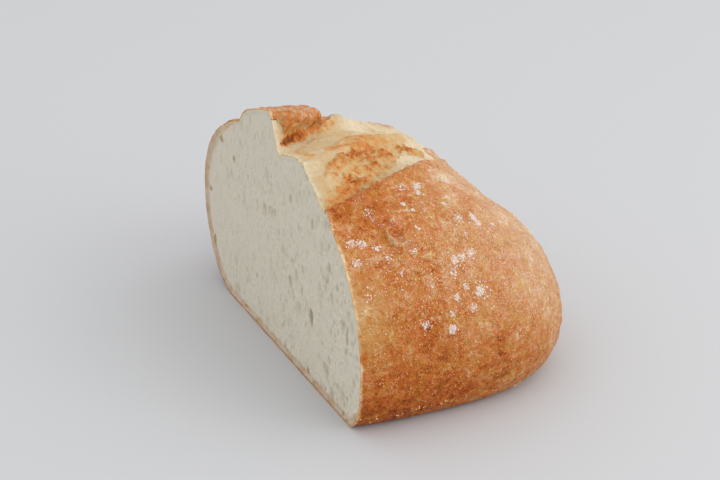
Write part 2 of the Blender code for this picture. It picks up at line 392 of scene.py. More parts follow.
    def band_height(self, x: np.ndarray, y: np.ndarray) -> np.ndarray:
        """Height that the torn band and the near crust's lip add to the smooth dome.

        Args:
            x: distances from the cut.
            y: places across the roll.

        Returns:
            Heights in metres.
        """
        edge, root = self.band_lines(x)
        strength = 1.0 - smooth_step(x, *self.band_closes)
        share = (y - edge) / (root - edge)
        inside = np.interp(share, self.band_shares, self.band_heights)
        beyond = self.band_heights[-1] * (1.0 - smooth_step(y - root, 0.0, self.ear_face))
        rising = smooth_step(y - edge, -self.crust_lip_width, -0.3 * MM)
        lip = self.crust_lip * rising * (1.0 - smooth_step(y - edge, 0.0, 1.0 * MM))
        return strength * (np.where(share <= 1.0, inside, beyond) + lip)

    def ear_shift(self, x: np.ndarray, y: np.ndarray) -> tuple[np.ndarray, np.ndarray]:
        """How far the ear moves the dome's surface.

        Args:
            x: distances from the cut.
            y: places across the roll.

        Returns:
            The shift sideways and the shift upwards, in metres.
        """
        _, root = self.band_lines(x)
        strength = 1.0 - smooth_step(x, *self.ear_closes)
        behind = y - root
        back = np.clip((behind - self.ear_face) / (self.ear_back_slope_end - self.ear_face), 0.0, 1.0)
        step = smooth_step(behind, self.ear_back_slope_end - 1.0 * MM, self.ear_back_slope_end + 2.0 * MM)
        top = self.ear_rise - self.ear_back_step - self.ear_fall * np.maximum(x, 0.0)
        rise = top * (1.0 - back) ** 0.8 + self.ear_back_step * (1.0 - step)
        undercut = smooth_step(x, 0.0, self.ear_undercut_starts)
        sideways, up = 0.0, 0.0
        for front, weight in ((self.ear_front_at_cut, 1.0 - undercut), (self.ear_front, undercut)):
            shares, shifts, heights = zip(*front)
            sideways = sideways + weight * np.interp(behind / self.ear_face, shares, shifts)
            up = up + weight * np.interp(behind / self.ear_face, shares, heights)
        sideways = sideways * (1.0 - smooth_step(behind, self.ear_face, self.ear_face + self.ear_top_settles))
        return strength * sideways, strength * rise * up

    def in_band(self, places: np.ndarray) -> np.ndarray:
        """Share of each place that lies in the torn band, fading at its margins."""
        x, y, z = places.T
        edge, root = self.band_lines(x)
        near, far = self.crag_margins
        inside = smooth_step(y, edge, edge + near) * (1.0 - smooth_step(y, root - far, root))
        return inside * (1.0 - smooth_step(x, *self.band_closes)) * smooth_step(z, *self.score_fades_in)

    def dent_depth(self, x: np.ndarray, y: np.ndarray) -> np.ndarray:
        """Depth of the dents in the upper crust.

        Args:
            x: distances from the cut.
            y: places across the roll.

        Returns:
            Depths in metres.
        """
        depth = np.zeros(len(x))
        for dent_x, dent_y, half_length, half_width, deepest in self.dents:
            away = ((x - dent_x) / half_length) ** 2 + ((y - dent_y) / half_width) ** 2
            depth = depth + deepest * np.exp(-away)
        return depth

    def relief(self, places: np.ndarray, normals: np.ndarray) -> np.ndarray:
        """Moves the smooth dome's points to the roll's large shape: score, ear, crags, lumps and dents.

        Args:
            places: points on the smooth dome.
            normals: the dome's outward normals there.

        Returns:
            The moved points.
        """
        x, y, z = places.T
        upper = smooth_step(z, *self.score_fades_in)
        lumps = noise_at(places, self.lump_size)
        drawn_out = places * np.array(self.crag_stretch) / self.crag_size
        basis = "PERLIN_ORIGINAL"
        crags = [noise.turbulence(place, 3, False, noise_basis=basis) for place in drawn_out.tolist()]
        crags = np.array(crags) - 0.5
        off_base = smooth_step(z, *self.lumps_fade_in)
        dents = self.dent_depth(x, y) * off_base
        out = self.lump_height * lumps * off_base + self.crag_height * crags * self.in_band(places) - dents
        moved = places + normals * out[:, None]
        sideways, up = self.ear_shift(x, y)
        moved[:, 1] += sideways * upper
        moved[:, 2] += (up + self.band_height(x, y)) * upper
        return moved


@dataclass
class Surface:
    """A baked surface's material while its nodes are being laid out."""

    name: str
    material: Material = field(init=False)
    nodes: bpy.types.Nodes = field(init=False)
    links: bpy.types.NodeLinks = field(init=False)
    shader: bpy.types.Node = field(init=False)
    where: NodeSocket = field(init=False)

    def __post_init__(self) -> None:
        """Makes the material with its shader."""
        self.material = bpy.data.materials.new(self.name)
        self.material.use_nodes = True
        self.nodes = self.material.node_tree.nodes
        self.links = self.material.node_tree.links
        self.shader = self.nodes["Principled BSDF"]
        self.where = self.nodes.new("ShaderNodeTexCoord").outputs["Object"]

    def plug(self, source: object, socket: NodeSocket) -> None:
        """Feeds a socket from another socket, or sets it to a number or colour.

        Args:
            source: an output socket, a number, or a colour as three numbers.
            socket: the input socket.
        """
        if isinstance(source, NodeSocket):
            self.links.new(source, socket)
        elif isinstance(source, tuple):
            socket.default_value = (*source, 1.0)
        else:
            socket.default_value = source

    def mark(self, name: str) -> NodeSocket:
        """Reads one of the mesh's number attributes."""
        node = self.nodes.new("ShaderNodeAttribute")
        node.attribute_name = name
        return node.outputs["Fac"]

    def wobbled(self, size: float, amount: float) -> NodeSocket:
        """Object coordinates shifted by noise, so that a pattern's lines wander.

        Args:
            size: the noise's size in metres.
            amount: the largest shift in metres.

        Returns:
            The shifted coordinates.
        """
        drift = self.nodes.new("ShaderNodeTexNoise")
        drift.inputs["Scale"].default_value = 1.0 / size
        self.links.new(self.where, drift.inputs["Vector"])
        node = self.nodes.new("ShaderNodeVectorMath")
        node.operation = "MULTIPLY_ADD"
        self.links.new(drift.outputs["Color"], node.inputs[0])
        node.inputs[1].default_value = (amount, amount, amount)
        self.links.new(self.where, node.inputs[2])
        return node.outputs[0]

    def grain(self, size: float, detail: float = 2.0, rough: float = 0.5) -> NodeSocket:
        """A noise pattern.

        Args:
            size: the pattern's size in metres.
            detail: how many finer layers it has.
            rough: how strong the finer layers are.

        Returns:
            A value around 0.5.
        """
        node = self.nodes.new("ShaderNodeTexNoise")
        node.inputs["Scale"].default_value = 1.0 / size
        node.inputs["Detail"].default_value = detail
        node.inputs["Roughness"].default_value = rough
        self.links.new(self.where, node.inputs["Vector"])
        return node.outputs[0]

    def cells(self, size: float, feature: str = "F1", wobble: float = 0.0) -> NodeSocket:
        """A cell pattern.

        Args:
            size: mean distance between cells, in metres.
            feature: F1 or DISTANCE_TO_EDGE.
            wobble: how far the pattern wanders, in metres.

        Returns:
            The distance, in cells.
        """
        node = self.nodes.new("ShaderNodeTexVoronoi")
        node.feature = feature
        node.inputs["Scale"].default_value = 1.0 / size
        self.links.new(self.wobbled(0.6 * size, wobble) if wobble else self.where, node.inputs["Vector"])
        return node.outputs["Distance"]

    def sum_up(self, operation: str, first: object, second: object = 0.0, third: object = 0.0) -> NodeSocket:
        """One sum on numbers.

        Args:
            operation: the math node's operation.
            first: the first number or socket.
            second: the second.
            third: the third, where the operation has one.

        Returns:
            The result.
        """
        node = self.nodes.new("ShaderNodeMath")
        node.operation = operation
        for value, socket in zip((first, second, third), node.inputs):
            self.plug(value, socket)
        return node.outputs[0]

    def span(
        self, value: object, low: float, high: float, new_low: float = 0.0, new_high: float = 1.0
    ) -> NodeSocket:
        """Maps a range to another with an even curve, and keeps within it.

        Args:
            value: the value to map.
            low: where the range starts.
            high: where it ends.
            new_low: what the start becomes.
            new_high: what the end becomes.

        Returns:
            The mapped value.
        """
        node = self.nodes.new("ShaderNodeMapRange")
        node.interpolation_type = "SMOOTHSTEP"
        for source, socket in zip((value, low, high, new_low, new_high), node.inputs):
            self.plug(source, socket)
        return node.outputs[0]

    def mix(self, share: object, first: object, second: object) -> NodeSocket:
        """Mixes two colours.

        Args:
            share: how much of the second colour shows.
            first: the first colour or socket.
            second: the second.

        Returns:
            The mixed colour.
        """
        node = self.nodes.new("ShaderNodeMix")
        node.data_type = "RGBA"
        self.plug(share, node.inputs[0])
        self.plug(first, node.inputs[6])
        self.plug(second, node.inputs[7])
        return node.outputs[2]

    def ramp(self, value: object, stops: Stops) -> NodeSocket:
        """A colour that changes along a value.

        Args:
            value: the value to follow.
            stops: (place, colour) pairs in rising order.

        Returns:
            The colour.
        """
        node = self.nodes.new("ShaderNodeValToRGB")
        elements = node.color_ramp.elements
        while len(elements) < len(stops):
            elements.new(0.5)
        for element, (place, colour) in zip(elements, stops):
            element.position = place
            element.color = (*colour, 1.0)
        self.plug(value, node.inputs[0])
        return node.outputs[0]

    def bump(self, height: object, depth: float, below: NodeSocket | None = None) -> NodeSocket:
        """Fine unevenness that is too small for the mesh.

        Args:
            height: the pattern.
            depth: the height in metres of a pattern value of 1.
            below: the normal of a coarser layer.

        Returns:
            The new normal.
        """
        node = self.nodes.new("ShaderNodeBump")
        node.inputs["Distance"].default_value = depth
        self.plug(height, node.inputs["Height"])
        if below is not None:
            self.links.new(below, node.inputs["Normal"])
        return node.outputs[0]

    def finish(
        self, colour: object, rough: object, normal: NodeSocket | None, shine: float = 0.5
    ) -> Material:
        """Connects the shader.

        Args:
            colour: the base colour.
            rough: the roughness.
            normal: the bumped normal, if any.
            shine: the specular level.

        Returns:
            The finished material.
        """
        self.plug(colour, self.shader.inputs["Base Color"])
        self.plug(rough, self.shader.inputs["Roughness"])
        self.shader.inputs["Specular IOR Level"].default_value = shine
        if normal is not None:
            self.links.new(normal, self.shader.inputs["Normal"])
        return self.material


@dataclass(frozen=True)
class CrustFinish:
    """Browned crust with hairline crackle, blisters and pale specks that are partly painted glints, torn
    dough in the score with painted shade in the hollow under the ear's lid, and dusted flour.
    """

    golden: Stops = (
        (0.0, (0.80, 0.60, 0.34)),
        (0.2, (0.605, 0.385, 0.160)),
        (0.35, (0.555, 0.290, 0.095)),
        (0.5, (0.500, 0.207, 0.043)),
        (0.65, (0.450, 0.142, 0.015)),
        (0.82, (0.355, 0.082, 0.006)),
        (1.0, (0.13, 0.033, 0.005)),
    )
    ruddy: Stops = (
        (0.0, (0.82, 0.58, 0.38)),
        (0.2, (0.620, 0.370, 0.205)),
        (0.35, (0.580, 0.268, 0.114)),
        (0.5, (0.525, 0.185, 0.048)),
        (0.65, (0.470, 0.120, 0.015)),
        (0.82, (0.360, 0.066, 0.006)),
        (1.0, (0.13, 0.028, 0.005)),
    )
    # The dark end of this ramp also colours the painted shade in the hollow under the ear's lid.
    dough: Stops = (
        (0.0, (0.66, 0.555, 0.39)),
        (0.12, (0.555, 0.422, 0.248)),
        (0.28, (0.595, 0.363, 0.145)),
        (0.42, (0.60, 0.275, 0.080)),
        (0.6, (0.56, 0.168, 0.030)),
        (0.8, (0.34, 0.090, 0.013)),
        (1.0, (0.12, 0.030, 0.008)),
    )
    floured: Colour = (0.76, 0.65, 0.57)
    shine: float = 0.17

    def material(self) -> Material:
        """Lays out the crust's material."""
        s = Surface("Crust")
        wide, middling = s.grain(22 * MM), s.grain(5 * MM, 3.0)
        fine, tiny = s.grain(1.5 * MM, 3.0, rough=0.65), s.grain(0.42 * MM, 2.0, rough=0.6)
        crackle = s.span(s.cells(1.7 * MM, "DISTANCE_TO_EDGE", 1.3 * MM), 0.02, 0.10, 1.0, 0.0)
        crackle = s.sum_up("MULTIPLY", crackle, s.span(s.grain(2.6 * MM), 0.45, 0.6))
        # Pale specks: partly real blisters, partly painted glints. They lighten the crust's colour and are
        # also bumped.
        blister_and_glint_specks = s.span(s.cells(0.85 * MM), 0.18, 0.36, 1.0, 0.0)
        blister_and_glint_specks = s.sum_up("MULTIPLY", blister_and_glint_specks, s.span(fine, 0.46, 0.6))
        tint = s.span(s.grain(3.4 * MM, 3.0), 0.30, 0.58)
        calm = s.span(s.mark("gold"), 0.05, 0.7, 1.0, 0.35)
        tint = s.sum_up("MULTIPLY", tint, calm)
        pocks = s.span(s.cells(1.35 * MM, wobble=0.8 * MM), 0.12, 0.30, 1.0, 0.0)
        pocks = s.sum_up("MULTIPLY", pocks, s.span(s.grain(2.2 * MM), 0.48, 0.58))

        baked = s.mark("bake")
        for pattern, strength in ((wide, 0.3), (middling, 0.55), (fine, 0.95), (tiny, 0.5)):
            uneven = s.sum_up("MULTIPLY", s.sum_up("SUBTRACT", pattern, 0.5), strength)
            baked = s.sum_up("MULTIPLY_ADD", uneven, calm, baked)
        scorch = s.span(s.grain(6.5 * MM, 3.0, rough=0.6), 0.56, 0.68)
        baked = s.sum_up("MULTIPLY_ADD", scorch, 0.16, baked)
        baked = s.sum_up("MULTIPLY_ADD", pocks, 0.24, baked)
        baked = s.sum_up("MULTIPLY_ADD", crackle, -0.24, baked)
        baked = s.sum_up("MULTIPLY_ADD", blister_and_glint_specks, -0.34, baked)
        crust = s.mix(tint, s.ramp(baked, self.golden), s.ramp(baked, self.ruddy))

        # The toast value also carries painted shade in the hollow under the ear's lid, which the dough ramp's
        # dark end colours.
        toast_and_shade = s.mark("toast_and_shade")
        rugged = s.span(toast_and_shade, 0.05, 0.5, 0.18, 1.0)
        for pattern, strength in ((middling, 0.5), (fine, 0.9), (tiny, 0.5)):
            uneven = s.sum_up("MULTIPLY", s.sum_up("SUBTRACT", pattern, 0.5), strength)
            toast_and_shade = s.sum_up("MULTIPLY_ADD", uneven, rugged, toast_and_shade)
        dough = s.ramp(toast_and_shade, self.dough)

        torn = s.sum_up("MULTIPLY_ADD", s.sum_up("SUBTRACT", fine, 0.5), 0.35, s.mark("dough"))
        torn = s.span(torn, 0.38, 0.62)
        colour = s.mix(torn, crust, dough)
        dust = s.mark("flour")
        for pattern, strength in ((tiny, 2.2), (fine, 1.3)):
            dust = s.sum_up("MULTIPLY_ADD", s.sum_up("SUBTRACT", pattern, 0.5), strength, dust)
        dust = s.sum_up("MULTIPLY", s.span(dust, 0.5, 0.95), 0.8)
        colour = s.mix(dust, colour, self.floured)

        rough = s.span(fine, 0.35, 0.65, 0.28, 0.46)
        dull = s.sum_up("MULTIPLY", torn, s.span(toast_and_shade, 0.2, 0.5, 1.0, 0.35))
        rough = s.sum_up("MULTIPLY_ADD", s.sum_up("MAXIMUM", dull, dust), 0.35, rough)
        relief = s.sum_up("ADD", s.sum_up("SUBTRACT", 1.0, torn), s.sum_up("MULTIPLY", torn, rugged))
        normal = s.bump(s.sum_up("MULTIPLY", fine, relief), 0.55 * MM)
        normal = s.bump(s.sum_up("MULTIPLY", tiny, relief), 0.34 * MM, normal)
        normal = s.bump(blister_and_glint_specks, 0.12 * MM, normal)
        normal = s.bump(pocks, -0.10 * MM, normal)
        normal = s.bump(crackle, -0.05 * MM, normal)
        return s.finish(colour, rough, normal, self.shine)


@dataclass(frozen=True)
class CrumbFinish:
    """Off-white crumb with soft pores and holes darkened by painted shade, and the crust's cut edge with its
    scorched spots around it.
    """

    open_crumb: Colour = (0.655, 0.605, 0.495)
    # Colour of the shade painted in the pores and holes.
    pore_and_shade: Colour = (0.44, 0.385, 0.28)
    pale_skin: Colour = (0.80, 0.64, 0.38)
    brown_skin: Colour = (0.50, 0.34, 0.215)
    scorched: Colour = (0.36, 0.235, 0.085)

    def material(self) -> Material:
        """Lays out the crumb's material."""
        s = Surface("Crumb")
        fine = s.grain(1.1 * MM, 3.0)
        tiny = s.grain(0.45 * MM)
        # The stored pore value is shade painted in the pits and holes. With random mottling added, it mixes
        # towards the shaded pore colour.
        depth = s.mark("pore_and_shade")
        for size, strength in ((2.6, 0.5), (1.2, 0.4)):
            swing = s.sum_up("SUBTRACT", s.grain(size * MM, 3.0), 0.5)
            depth = s.sum_up("MULTIPLY_ADD", swing, strength, depth)
        depth = s.span(depth, -0.15, 1.0)
        colour = s.mix(depth, self.open_crumb, self.pore_and_shade)
        skin = s.mix(s.mark("side"), self.pale_skin, self.brown_skin)
        cover = s.sum_up("MULTIPLY_ADD", s.sum_up("SUBTRACT", fine, 0.5), 0.8, s.mark("skin"))
        cover = s.sum_up("MULTIPLY", s.span(cover, 0.3, 0.9), s.span(s.grain(5 * MM), 0.38, 0.58, 0.6, 1.0))
        colour = s.mix(cover, colour, skin)
        spot = s.sum_up("MULTIPLY_ADD", s.sum_up("SUBTRACT", fine, 0.5), 1.4, s.mark("spot"))
        colour = s.mix(s.span(spot, 0.25, 0.75, 0.0, 0.85), colour, self.scorched)
        normal = s.bump(fine, 0.42 * MM)
        normal = s.bump(tiny, 0.10 * MM, normal)
        s.shader.inputs["Subsurface Weight"].default_value = 0.25
        s.shader.inputs["Subsurface Radius"].default_value = (1.0, 0.8, 0.55)
        s.shader.inputs["Subsurface Scale"].default_value = 1.2 * MM
        return s.finish(colour, 0.85, normal, 0.2)


@dataclass(frozen=True)
class BlisterFinish:
    """Tiny blisters, paler than the crust they stand on and darker near the base."""

    high: Colour = (0.68, 0.41, 0.21)
    low: Colour = (0.62, 0.27, 0.07)

    def material(self) -> Material:
        """Lays out the blisters' material."""
        s = Surface("Blisters")
        height = s.nodes.new("ShaderNodeSeparateXYZ")
        s.links.new(s.where, height.inputs[0])
        rising = s.span(height.outputs["Z"], 8.0 * MM, 45.0 * MM)
        uneven = s.sum_up("MULTIPLY_ADD", s.sum_up("SUBTRACT", s.grain(1.1 * MM), 0.5), 2.4, rising)
        return s.finish(s.mix(s.span(uneven, 0.0, 1.0), self.low, self.high), 0.34, None, 0.4)


@dataclass(frozen=True)
class GrainFinish:
    """Loose grains of flour or semolina."""

    name: str
    colour: Colour

    def material(self) -> Material:
        """Lays out the grains' material."""
        s = Surface(self.name)
        return s.finish(self.colour, 0.9, None, 0.15)


TOASTED = (
    Spine(
        (
            (6.0, 26.5, 0, 1.6),
            (10.5, 27.5, 0, 3.0),
            (15.0, 28.5, 0, 4.0),
            (19.5, 30.5, 0, 4.4),
            (24.0, 32.5, 0, 3.6),
            (29.0, 33.5, 0, 2.0),
        ),
        True,
    ),
    Spine(((9.5, 21.6, 0, 1.2), (13.4, 23.4, 0, 2.0), (17.5, 24.5, 0, 1.4)), True),
    Spine(((30.5, 35.5, 0, 1.6), (35.0, 37.5, 0, 2.6), (38.5, 39.0, 0, 2.2)), True),
    Spine(((38.5, 61.0, 0, 1.0), (41.0, 65.5, 0, 1.6), (43.0, 69.0, 0, 1.0)), True),
)
SCORCHED = (
    Spine(
        (
            (9.5, 29.8, 0, 0.7),
            (13.5, 31.6, 0, 1.2),
            (17.5, 33.6, 0, 1.3),
            (20.5, 33.6, 0, 1.2),
            (21.5, 30.5, 0, 0.7),
        ),
        True,
    ),
    Spine(((24.5, 34.8, 0, 0.9), (27.5, 33.4, 0, 0.8)), True),
    Spine(((34.0, 38.2, 0, 0.9), (38.5, 40.2, 0, 1.1)), True),
    Spine(((11.5, 22.0, 0, 0.6), (15.5, 23.6, 0, 0.8)), True),
)
YELLOWED = (
    Spine(
        (
            (12.5, 38.0, 0, 2.4),
            (18.5, 38.0, 0, 4.6),
            (25.0, 40.0, 0, 5.2),
            (31.5, 42.5, 0, 4.2),
            (36.0, 45.0, 0, 2.0),
        ),
        True,
    ),
    Spine(((22.0, 50.0, 0, 1.6), (26.0, 53.0, 0, 2.0), (31.0, 57.0, 0, 1.8)), True),
    Spine(((4.3, 43.6, 0, 1.0), (3.6, 36.0, 0, 0.8), (4.3, 33.5, 0, 1.1)), True),
    Spine(((1.5, 14.5, 0, 3.0), (6.0, 18.0, 0, 3.0), (10.0, 22.5, 0, 2.4)), True),
    Spine(((42.0, 72.0, 0, 1.6),), True),
)
# Patches of flour: place and radius in millimetres in the cut's frame, and how thick the flour lies.
FLOUR_SPOTS = (
    (29.0, 18.5, 58.5, 1.1, 1.0),
    (28.0, 16.0, 57.5, 1.0, 0.9),
    (24.5, 18.0, 59.0, 1.4, 0.5),
    (22.0, 12.5, 56.5, 0.7, 1.0),
    (24.0, 10.5, 55.0, 0.7, 0.8),
    (34.0, 12.0, 54.5, 0.9, 0.7),
    (36.5, 14.0, 55.0, 0.8, 0.6),
    (17.0, 9.0, 54.0, 0.8, 0.6),
    (23.5, 6.0, 52.0, 0.8, 0.5),
    (11.5, 12.0, 56.0, 1.4, 0.4),
    (36.5, 8.0, 51.5, 1.4, 0.7),
    (41.5, 9.0, 50.5, 1.3, 1.0),
    (42.5, 7.5, 49.0, 1.0, 1.0),
    (47.5, 8.5, 47.5, 0.9, 0.7),
    (37.0, 4.5, 48.0, 0.8, 0.6),
    (36.5, 0.5, 44.5, 1.3, 1.0),
    (33.5, -0.5, 44.5, 0.9, 0.9),
    (31.0, -1.0, 44.0, 1.3, 1.0),
    (29.5, -3.5, 41.0, 0.9, 0.7),
    (32.5, -5.5, 37.5, 1.0, 0.8),
    (36.5, -5.5, 35.5, 1.8, 0.9),
    (29.0, -6.5, 35.5, 1.2, 0.8),
    (33.5, -7.5, 32.0, 1.2, 0.7),
    (27.0, -8.5, 32.0, 0.9, 0.8),
    (26.5, -9.5, 28.0, 1.3, 1.0),
    (18.5, -9.0, 30.5, 1.3, 0.6),
    (22.5, -5.0, 39.5, 0.6, 0.8),
    (10.0, 3.5, 49.0, 1.0, 0.8),
    (4.0, 5.5, 51.0, 1.5, 0.6),
    (6.5, 5.0, 50.5, 1.3, 0.6),
    (3.5, 1.5, 47.0, 1.0, 0.9),
    (12.0, 1.0, 47.0, 1.0, 0.6),
    (14.5, -2.0, 43.5, 0.9, 0.5),
    (19.5, 1.0, 47.5, 1.0, 0.6),
    (4.5, -4.0, 39.0, 1.7, 0.3),
    (39.5, 21.5, 57.0, 1.6, 0.5),
)
CRESCENT_LIP = Spine(
    (
        (13.8, 6.7, 52.4, 0.6),
        (14.1, 4.8, 50.8, 0.8),
        (15.1, 3.3, 49.5, 0.9),
        (17.2, 2.8, 49.0, 0.9),
        (19.2, 3.3, 49.6, 0.6),
    )
)
CRESCENT_PIT = Spine(((15.5, 6.0, 51.8, 1.1), (17.6, 4.6, 50.7, 1.3)))
# Holes in the crumb: y and z, half width, half height and depth in millimetres. The depth also sets the shade
# painted in each hole.
CRUMB_HOLES = (
    (26.0, 20.5, 1.5, 3.2, 1.6),
    (1.5, 25.5, 1.0, 2.6, 1.2),
    (41.3, 25.3, 1.2, 2.2, 1.1),
    (32.3, 26.0, 0.8, 2.0, 1.0),
    (13.0, 41.0, 1.0, 2.2, 1.0),
    (40.0, 51.0, 0.9, 1.8, 0.9),
    (24.4, 49.4, 1.0, 2.0, 0.9),
    (85.0, 47.2, 1.5, 1.4, 1.0),
)
# Spots of crust and scorched crumb at the cut's outline: y and z, half width and half height in millimetres.
CUT_SPOTS = (
    (107.6, 30.0, 2.2, 1.6),
    (105.0, 13.0, 1.6, 3.0),
    (95.4, 50.5, 2.4, 1.8),
    (85.1, 47.2, 1.5, 1.2),
    (28.7, 3.0, 1.5, 1.8),
    (24.3, 1.3, 1.2, 0.7),
    (16.4, 3.2, 1.0, 1.2),
    (4.0, 1.8, 1.2, 1.2),
    (1.0, 0.9, 1.5, 0.7),
    (78.4, 1.6, 3.0, 0.7),
    (69.0, 0.8, 2.4, 0.5),
)


def cut_spots(y: np.ndarray, z: np.ndarray) -> np.ndarray:
    """Share of each place at the cut that a brown spot covers.

    Args:
        y: places across the roll.
        z: heights.

    Returns:
        1 in a spot's middle, 0 outside.
    """
    cover = np.zeros(len(y))
    for spot_y, spot_z, half_width, half_height in CUT_SPOTS:
        away = np.hypot((y - spot_y * MM) / (half_width * MM), (z - spot_z * MM) / (half_height * MM))
        cover = np.maximum(cover, 0.85 * (1.0 - smooth_step(away, 0.0, 1.35)))
    return cover


def finished_object(name: str, shell: BMesh, place: Vector, material: Material) -> Object:
    """Turns a finished bmesh into a piece of the roll.

    Args:
        name: the piece's name.
        shell: its mesh in the cut's frame.
        place: how far the cut's frame lies from the roll's.
        material: its material.

    Returns:
        The piece, riding the roll's body.
    """
    bmesh.ops.translate(shell, vec=place, verts=shell.verts[:])
    mesh = bpy.data.meshes.new(name)
    shell.to_mesh(mesh)
    shell.free()
    mesh.materials.append(material)
    piece = bpy.data.objects.new(name, mesh)
    bpy.context.scene.collection.objects.link(piece)
    mesh.shade_smooth()
    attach(piece, BODY)
    log.info("%s: %d triangles", name, sum(len(face.vertices) - 2 for face in mesh.polygons))
    return piece


def move_to(shell: BMesh, places: np.ndarray) -> None:
    """Moves a mesh's corners to new places, given one row each."""
    for vert, place in zip(shell.verts, places):
        vert.co = place


def store(shell: BMesh, name: str, values: np.ndarray) -> None:
    """Stores one number per corner under a name that the material reads.

    Args:
        shell: the mesh.
        name: the numbers' name.
        values: one number per corner.
    """
    layer = shell.verts.layers.float.get(name)
    if layer is None:
        layer = shell.verts.layers.float.new(name)
    for vert, value in zip(shell.verts, values):
        vert[layer] = value


def open_edges(shell: BMesh) -> list[BMEdge]:
    """The edges that have a face on one side only."""
    return [edge for edge in shell.edges if edge.is_boundary]


def extruded(shell: BMesh, loop: list[BMVert], depth: float, outline: np.ndarray) -> list[BMVert]:
    """Extrudes a mesh's open rim to the next outline.

    Args:
        shell: the mesh.
        loop: the rim's corners in order.
        depth: the new rim's distance from the cut.
        outline: the new rim's (y, z) points in the same order.

    Returns:
        The new rim's corners in order.
    """
    order = {vert: number for number, vert in enumerate(loop)}
    made = bmesh.ops.extrude_edge_only(shell, edges=open_edges(shell))["geom"]
    new_loop: list[BMVert | None] = [None] * len(loop)
    for vert in (item for item in made if isinstance(item, BMVert)):
        beside = (edge.other_vert(vert) for edge in vert.link_edges)
        new_loop[order[next(other for other in beside if other in order)]] = vert
    for vert, (y, z) in zip(new_loop, outline):
        vert.co = (depth, y, z)
    return new_loop


def close_up(shell: BMesh) -> None:
    """Closes a mesh's open rim with a face, and makes it triangles that face outwards."""
    bmesh.ops.contextual_create(shell, geom=open_edges(shell))
    bmesh.ops.triangulate(shell, faces=[face for face in shell.faces if len(face.verts) > 3])
    bmesh.ops.recalc_face_normals(shell, faces=shell.faces[:])


def rim_loop(shell: BMesh) -> list[BMVert]:
    """Puts the corners of a mesh's one open rim in order.

    Args:
        shell: the mesh.

    Returns:
        The corners in order.
    """
    beside: dict[BMVert, list[BMVert]] = {}
    for edge in open_edges(shell):
        first, second = edge.verts
        beside.setdefault(first, []).append(second)
        beside.setdefault(second, []).append(first)
    start = next(iter(beside))
    loop, last, here = [start], None, start
    while True:
        onward = [vert for vert in beside[here] if vert is not last]
        if not onward or onward[0] is start or (len(loop) > 2 and start in onward):
            break
        last, here = here, onward[0]
        loop.append(here)
    return loop


@dataclass
class Recess:
    """The outlines of the recess behind the cut, from its mouth inwards, set deeper under the ear."""

    rim_width: float = 0.4 * MM
    step_depth: float = 0.8 * MM
    step_inset: float = 0.65 * MM
    depth: float = 3.2 * MM
    shrink: float = 0.92
    middle: tuple[float, float] = (50.0 * MM, 27.0 * MM)
    play: float = 0.02 * MM
    ear_foot: tuple[float, float] = (50.0 * MM, 64.0 * MM)
    ear_inset: float = 2.2 * MM

    def inset(self, outline: np.ndarray, distance: float | np.ndarray, passes: int = 3) -> np.ndarray:
        """Moves a closed outline inwards along its own normals.

        Args:
            outline: (y, z) points in order.
            distance: how far.
            passes: how often the result is evened out.

        Returns:
            The moved points.
        """
        ahead, behind = np.roll(outline, -2, axis=0), np.roll(outline, 2, axis=0)
        run = ahead - behind
        run = run / np.linalg.norm(run, axis=1)[:, None]
        inward = np.stack([-run[:, 1], run[:, 0]], axis=1)
        y, z = outline.T
        turning = np.sum(y * np.roll(z, -1) - np.roll(y, -1) * z)
        if turning < 0.0:
            inward = -inward
        moved = outline + inward * distance
        for _ in range(passes):
            moved = moved * 0.5 + (np.roll(moved, 1, axis=0) + np.roll(moved, -1, axis=0)) * 0.25
        return moved

    def loops(self, outline: np.ndarray) -> list[tuple[float, np.ndarray]]:
        """The outlines at the mouth, at the step and at the back.

        Args:
            outline: the roll's outline in the cut, as (y, z) points in order.

        Returns:
            (depth, outline) pairs.
        """
        mouth = self.inset(outline, self.rim_width)
        y, z = outline.T
        foot_y, foot_z = self.ear_foot
        under_ear = np.exp(bell(y - foot_y, 0.0, 6.0) + bell(z - foot_z, 0.0, 8.0))
        step = self.inset(outline, self.step_inset + self.ear_inset * under_ear[:, None])
        middle = np.array(self.middle)
        back = middle + (step - middle) * self.shrink
        return [(0.0, mouth), (self.step_depth, step), (self.depth, back)]


